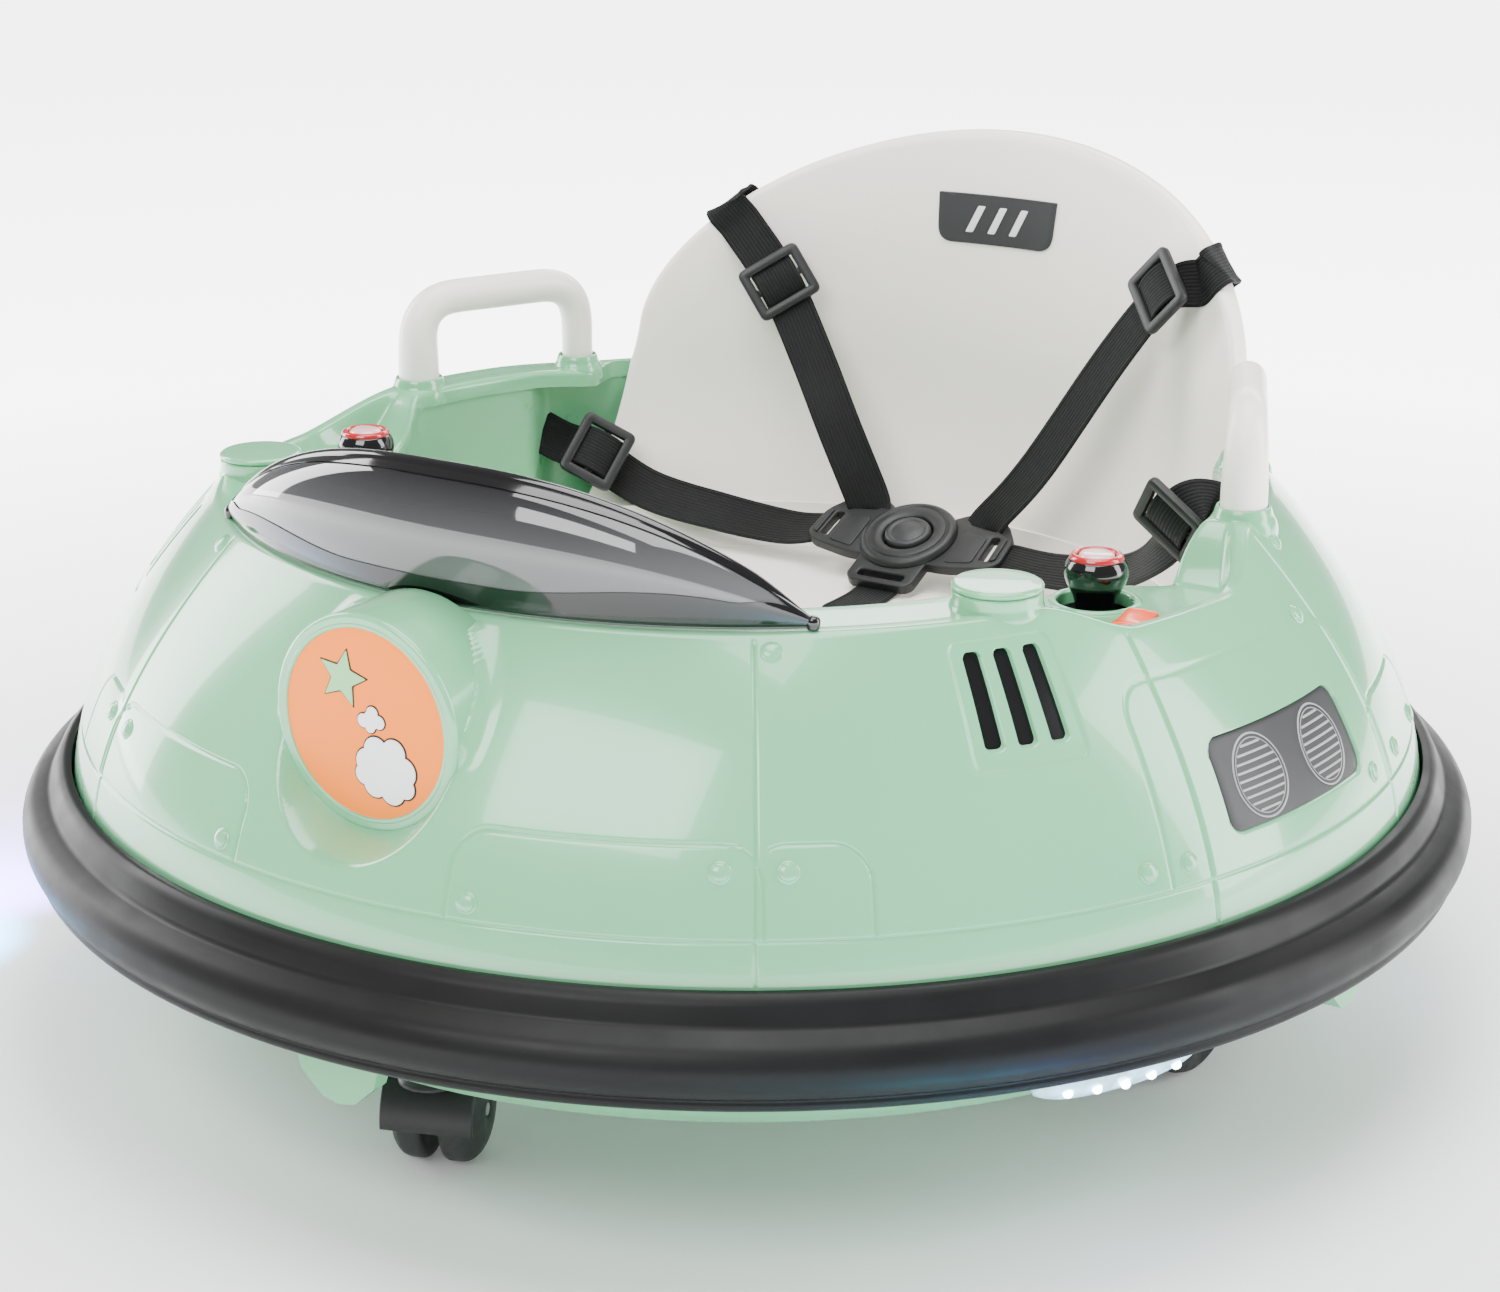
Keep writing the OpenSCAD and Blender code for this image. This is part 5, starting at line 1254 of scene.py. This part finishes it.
# raised guards beside the slots: outline, corner radius, top
GUARDS = (([[54.2, -9], [57.2, -7.4], [56.2, 10.6], [53.4, 11.6]], 1.2, 3.4),
          ([[29, -15.6], [45, -12.4], [44.6, 9], [31, 12], [29, 9]], 2.5, 2.9))
for s in (-1, 1):
    for points, r, top in GUARDS:
        guard = plate([rounded(np.array(points) * [s, 1], r, 4)], 1.6, top, 0.6)
        buckle.add(*placed(guard, *B))
buckle.make("buckle", m_buckle, slot="black_plastic", nodes=("buckle_hub",), sharp=40)
btn = rounded([[0, -0.8], [13.4, -0.8], [13.4, 5.4], [12.4, 6.9], [10.4, 7.2], [9.4, 6.6], [8.4, 6.9],
               [5.0, 7.8], [0, 8.2]], [0, 0.4, 1.2, 1.0, 0.5, 0.4, 0.8, 2, 0], 6)
bv, bf = revolve(btn, 96)
piece("buckle_release", *placed((bv * [1, 0.93, 1], bf), *B), m_grey, body="buckle_button",
      slot="dark_grey_plastic", nodes=("buckle_button",), sharp=50)

# ------------------------------------------------------------------ grab handles

handles = Parts()
front_leg, rear_leg = feet
LEG_FOOT, FRONT_TOP, REAR_TOP = 270.0, 321.0, 320.0
corners = [[*front_leg[:2], LEG_FOOT], [*front_leg[:2], FRONT_TOP], [*rear_leg[:2], REAR_TOP],
           [*rear_leg[:2], LEG_FOOT]]
path = relaxed(subdivided(rounded(corners, [0, 34, 28, 0], 18, closed=False), 3.0), 3)
run = length_along(path)
u = run / run[-1]
rad = 11.2 - 1.9 * smooth(0.05, 0.35, u) - 0.7 * smooth(0.6, 0.95, u)
lean = unit(np.array([rear_leg[1] - front_leg[1], front_leg[0] - rear_leg[0], 0.0]))
handles.add(*sweep(path, np.tile(lean, (len(path), 1)), circle(1.0, 40), rad))
handles.mirrored()
handles.make("grab_handles", m_grip, slot="cream_plastic", nodes=("carry_handles",), sharp=60)

# ------------------------------------------------------------------ light pods

def pod(profile, half, floor=0.08, power=0.55, n=41, root=(331.5, 92.5)):
    """Pod shape whose section shrinks toward its root at both ends."""
    prof, rings = np.asarray(profile, float), []
    for s in np.linspace(-1, 1, n):
        k = floor + (1 - floor) * max(0.0, 1 - abs(s) ** 2.6) ** power
        q = np.array(root) + (prof - root) * k
        rings.append(polar(half * s, q[:, 0], q[:, 1]))
    return np.stack(rings)


def turned(points, t):
    """Turns points about the vertical axis by an angle in degrees."""
    a = math.radians(t)
    m = np.array([[math.cos(a), -math.sin(a), 0], [math.sin(a), math.cos(a), 0], [0, 0, 1]])
    return points @ m.T


def lens_material():
    mat, nt, bs = nodes_of("pod_lens")
    vec = coords(nt)
    cells = nt.nodes.new("ShaderNodeTexVoronoi")
    cells.inputs["Scale"].default_value = 130.0
    link(nt, vec, cells.inputs["Vector"])
    tint = blend_colour(nt, cells.outputs["Distance"], (0.55, 0.80, 1.0), (0.85, 0.95, 1.0))
    link(nt, tint, bs.inputs["Base Color"])
    link(nt, remap(nt, noise(nt, vec, 80.0, 2.0), 0.3, 0.7, 0.04, 0.14), bs.inputs["Roughness"])
    link(nt, bump(nt, cells.outputs["Distance"], 0.5, 0.0015), bs.inputs["Normal"])
    bs.inputs["Transmission Weight"].default_value = 0.35
    bs.inputs["Emission Color"].default_value = (0.30, 0.65, 1.0, 1)
    link(nt, remap(nt, cells.outputs["Distance"], 0.0, 0.7, 2.6, 0.5), bs.inputs["Emission Strength"])
    return mat


def diode_material():
    mat, nt, bs = nodes_of("pod_diode")
    vec = coords(nt)
    n = noise(nt, vec, 200.0, 2.0)
    link(nt, blend_colour(nt, n, (0.6, 0.8, 1.0), (0.9, 0.95, 1.0)), bs.inputs["Base Color"])
    bs.inputs["Emission Color"].default_value = (0.72, 0.86, 1.0, 1)
    link(nt, remap(nt, n, 0.3, 0.7, 14.0, 20.0), bs.inputs["Emission Strength"])
    return mat


house_prof = rounded([[305.8, 67.6], [314, 65.6], [325, 69.6], [332.4, 78.8], [335.6, 94], [309, 94]],
                     [2, 3, 4, 4, 1, 1], 5)
lens_prof = rounded([[312.5, 66.6], [315, 65.5], [325.6, 69.0], [333.2, 78.2], [335.1, 86.8], [330, 86.5],
                     [320, 78]], [1, 2, 4, 4, 1.5, 1, 1], 5)
bulb = revolve([[0, -1.6], [2.3, -1.6], [2.3, 0], [1.9, 0.9], [1.1, 1.5], [0, 1.7]], 20)
house, lens, diode = Parts(), Parts(), Parts()
for side in (-1, 1):
    for t in (62, 118):
        house.add(*loft(turned(pod(house_prof, 8.7), side * t)))
        lens.add(*loft(turned(pod(lens_prof, 7.4, floor=0.35, root=(327.5, 81.5)), side * t)))
        for k in range(-2, 3):
            tt = side * t + k * 2.5
            drop = 1 - abs(k) * 0.12
            c = polar(tt, 327.5 + 4.2 * drop, 80.5 - 6.4 * drop)
            n = unit(polar(tt, 0.75, -0.66))
            x = unit(np.cross([0, 0, 1.0], n))
            diode.add(*placed(bulb, c, x, np.cross(n, x), n))
house.make("pod_housings", m_mint_in, slot="mint_shell", nodes=("led_housings",), sharp=40)
lens.make("pod_lenses", lens_material(), slot="clear_lens", nodes=("led_lenses",), sharp=40)
diode.make("pod_diodes", diode_material(), slot="clear_lens")

# ------------------------------------------------------------------ casters

CASTER_R, TRAIL = 25.0, 18.0
hub_c = np.array([0, TRAIL, CASTER_R])


def about_x(profile, x_of, n=96, a0=None, a1=None):
    """Turns an (x, radius) outline about the wheel's axle, all the way or from one angle to another."""
    prof = np.asarray(profile, float)
    a = np.radians(np.linspace(a0, a1, n)) if a0 is not None else np.arange(n) * 2 * math.pi / n
    rings = [np.stack([x_of * prof[:, 0], prof[:, 1] * math.cos(t), prof[:, 1] * math.sin(t)], -1) for t in a]
    return loft(np.stack(rings) + hub_c, closed=a0 is None)


wheel_prof = rounded([[3.7, 3.2], [3.7, 21], [4.2, 23.8], [6.0, 25.0], [12.2, 25.0], [15.0, 24.3],
                      [18.4, 21.2], [20.7, 16.0], [21.5, 9.6], [21.5, 5.0], [20.7, 4.2], [20.7, 3.2]],
                     [0.4, 1, 1.2, 1.2, 2, 2.5, 3, 3, 2, 0.5, 0.3, 0.3], 5)
hood_prof = rounded([[-22, 26.2], [-22, 28.5], [22, 28.5], [22, 26.2]], [0.6, 1.2, 1.2, 0.6], 4)
neck = rounded([[0, 44], [15.5, 46.5], [12.2, 52.5], [11, 55], [11, 60.6], [10.4, 61.2], [0, 61.2]],
               [0, 2, 3, 2, 0.5, 0.4, 0], 5)
wheels, hood = Parts(), Parts()
wheels.add(*about_x(wheel_prof, 1))
wheels.add(*about_x(wheel_prof, -1))
hood.add(*about_x(hood_prof, 1, 60, -2, 182))
rib = [[28.0 * math.cos(t), 28.0 * math.sin(t)]
       for t in np.linspace(math.radians(-1), math.radians(181), 40)]
rib += [[-11 * math.cos(t), -11 * math.sin(t)] for t in np.linspace(0, math.pi, 16)]
hood.add(*placed(soft_prism(rib, -2.7, 2.7, 0.6), hub_c, [0, 1, 0], [0, 0, 1], [1, 0, 0]))
hood.add(*revolve(neck, 72))
# name, distance along Y from the middle, and how far the caster has swung
for nm, at_y, yaw in (("front", -268.0, 20), ("rear", 268.0, -35)):
    for shells, suffix, mat, slot, body_name, cad in (
            (wheels, "caster_wheel_pair", m_tread, "caster_tread", "caster_wheels", "caster_wheels"),
            (hood, "caster_fork", m_black, "black_plastic", "caster", "caster_hood")):
        piece(f"{nm}_{suffix}", turned(np.concatenate(shells.v), yaw) + [0, at_y, 0], shells.f, mat,
              body=f"{nm}_{body_name}", slot=slot, nodes=(f"{nm}_{cad}",), sharp=40)

# ------------------------------------------------------------------ CAD pieces that stay

m_pcb = plastic("circuit_board", (0.02, 0.16, 0.07), 0.35, 0.3, 2500.0, 0.5, 0.25)
m_nylon = plastic("gear_nylon", (0.66, 0.64, 0.56), 0.45, 0.0, 900.0, 0.2, 0.05, subsurface=0.05)
FINISH = {"mint_shell": m_mint_in, "bumper_black": m_bumper, "smoke_screen": m_smoke,
          "gloss_black": m_gloss, "orange_print": m_orange, "orange_plastic": m_rocker,
          "black_plastic": m_black, "caster_tread": m_tread, "dark_grey_plastic": m_grey,
          "red_plastic": m_red, "pale_plastic": m_red_painted_highlight, "cream_plastic": m_cream, "webbing": m_web,
          "circuit_green": m_pcb, "clear_lens": m_white_print, "steel": m_steel, "gear_nylon": m_nylon,
          "drive_tyre": m_tyre}
SOFT = {"lower_chassis": 1.2, "charging_inlet": 0.4, "speakers": 0.6, "battery": 1.5, "gearbox_shells": 0.8,
        "drive_motors": 0.5, "left_hub": 0.6, "right_hub": 0.6}
for sub in frame["record"]["subparts"]:
    ob = frame["nodes"][sub["node"]]
    ob.data.materials.clear()
    ob.data.materials.append(m_mint if sub["node"] == "cap_lids" else FINISH[sub["material_slot"]])
    if sub["node"] in SOFT:
        bevel(ob, SOFT[sub["node"]], 2)

# ------------------------------------------------------------------ floor, light and camera

def floor_material():
    mat, nt, bs = nodes_of("studio_floor")
    vec = coords(nt)
    dist = nt.nodes.new("ShaderNodeVectorMath")
    dist.operation = "LENGTH"
    link(nt, vec, dist.inputs[0])
    speck = noise(nt, vec, 60.0, 3.0)
    link(nt, blend_colour(nt, speck, (0.86, 0.865, 0.87), (0.90, 0.905, 0.91)), bs.inputs["Base Color"])
    link(nt, remap(nt, speck, 0.3, 0.7, 0.5, 0.6), bs.inputs["Roughness"])
    # painted shadow: the floor's glow stays low near the car, a painted soft shadow round it, and brightens
    # into a white sweep away from it
    far = remap(nt, dist.outputs["Value"], 0.36, 1.4, 0.0, 1.0)
    bs.inputs["Emission Color"].default_value = (1, 1, 1, 1)
    link(nt, remap(nt, far, 0.0, 1.0, 0.12, 5.0), bs.inputs["Emission Strength"])
    return mat


ring_r = np.array([0, 0.4, 0.8, 1.2, 2, 3, 5, 8, 14]) * 1000
ang = np.linspace(0, 360, 97)[:-1]
fv = polar(ang[:, None], ring_r[None, 1:], 0 * ring_r[None, 1:])
ff = quads(len(ang), len(ring_r) - 1, wrap_u=True) + [[i * (len(ring_r) - 1) for i in range(len(ang))][::-1]]
me = bpy.data.meshes.new("studio_floor")
me.from_pydata((fv.reshape(-1, 3) * MM).tolist(), [], ff)
me.materials.append(floor_material())
floor = bpy.data.objects.new("studio_floor", me)
bpy.context.scene.collection.objects.link(floor)

world = bpy.data.worlds.new("studio")
bpy.context.scene.world = world
world.use_nodes = True
backdrop = world.node_tree.nodes["Background"]
backdrop.inputs["Color"].default_value = (1.0, 1.0, 1.0, 1)
backdrop.inputs["Strength"].default_value = 0.40


def area(name, spot, look, w, h, power, colour=(1, 1, 1), spread=180):
    li = bpy.data.lights.new(name, "AREA")
    li.shape = "RECTANGLE"
    li.size, li.size_y = w, h
    li.energy = power
    li.color = colour
    li.spread = math.radians(spread)
    ob = bpy.data.objects.new(name, li)
    bpy.context.scene.collection.objects.link(ob)
    ob.location = spot
    ob.rotation_mode = "QUATERNION"
    ob.rotation_quaternion = (Vector(look) - Vector(spot)).to_track_quat("-Z", "Y")
    return ob


area("top_softbox", (0.1, 0.0, 2.3), (0, 0, 0.2), 1.9, 1.5, 78)
area("left_softbox", (-2.2, -0.1, 0.95), (0, 0, 0.2), 0.8, 1.9, 60)
area("right_softbox", (2.1, 0.9, 1.0), (0, 0, 0.2), 0.8, 1.9, 60)
area("front_key", (0.15, -2.1, 2.0), (0, 0, 0.2), 1.5, 1.1, 62)
area("back_rim", (-0.4, 2.4, 1.5), (0, 0, 0.25), 2.2, 0.8, 40)
# coloured light that the pods throw on the floor
for name, spot, look, power, colour in (
        ("pod_glow_right", (0.330, -0.205, 0.080), (0.40, -0.46, 0.0), 1.3, (0.03, 0.80, 1.0)),
        ("pod_glow_right_2", (0.345, -0.180, 0.080), (0.50, -0.34, 0.0), 1.0, (0.08, 0.25, 1.0)),
        ("pod_glow_left", (-0.345, -0.165, 0.080), (-0.47, -0.27, 0.0), 1.3, (0.05, 0.50, 1.0)),
        ("pod_glow_left_2", (-0.36, -0.13, 0.080), (-0.50, -0.14, 0.0), 1.0, (0.30, 0.18, 1.0))):
    area(name, spot, look, 0.02, 0.06, power, colour, 100)

cam_data = bpy.data.cameras.new("camera")
cam = bpy.data.objects.new("camera", cam_data)
bpy.context.scene.collection.objects.link(cam)
bpy.context.scene.camera = cam
target = Vector((0.0, 0.0, 0.179))
azimuth, elevation, distance = math.radians(32.4), math.radians(18.2), 1.6
flat_part = math.cos(elevation)
back = Vector((math.sin(azimuth) * flat_part, -math.cos(azimuth) * flat_part, math.sin(elevation)))
cam.location = target + back * distance
cam.rotation_mode = "QUATERNION"
cam.rotation_quaternion = (-back).to_track_quat("-Z", "Y")
cam_data.sensor_width = 36.0
cam_data.lens = 75.43
cam_data.shift_x = 0.002
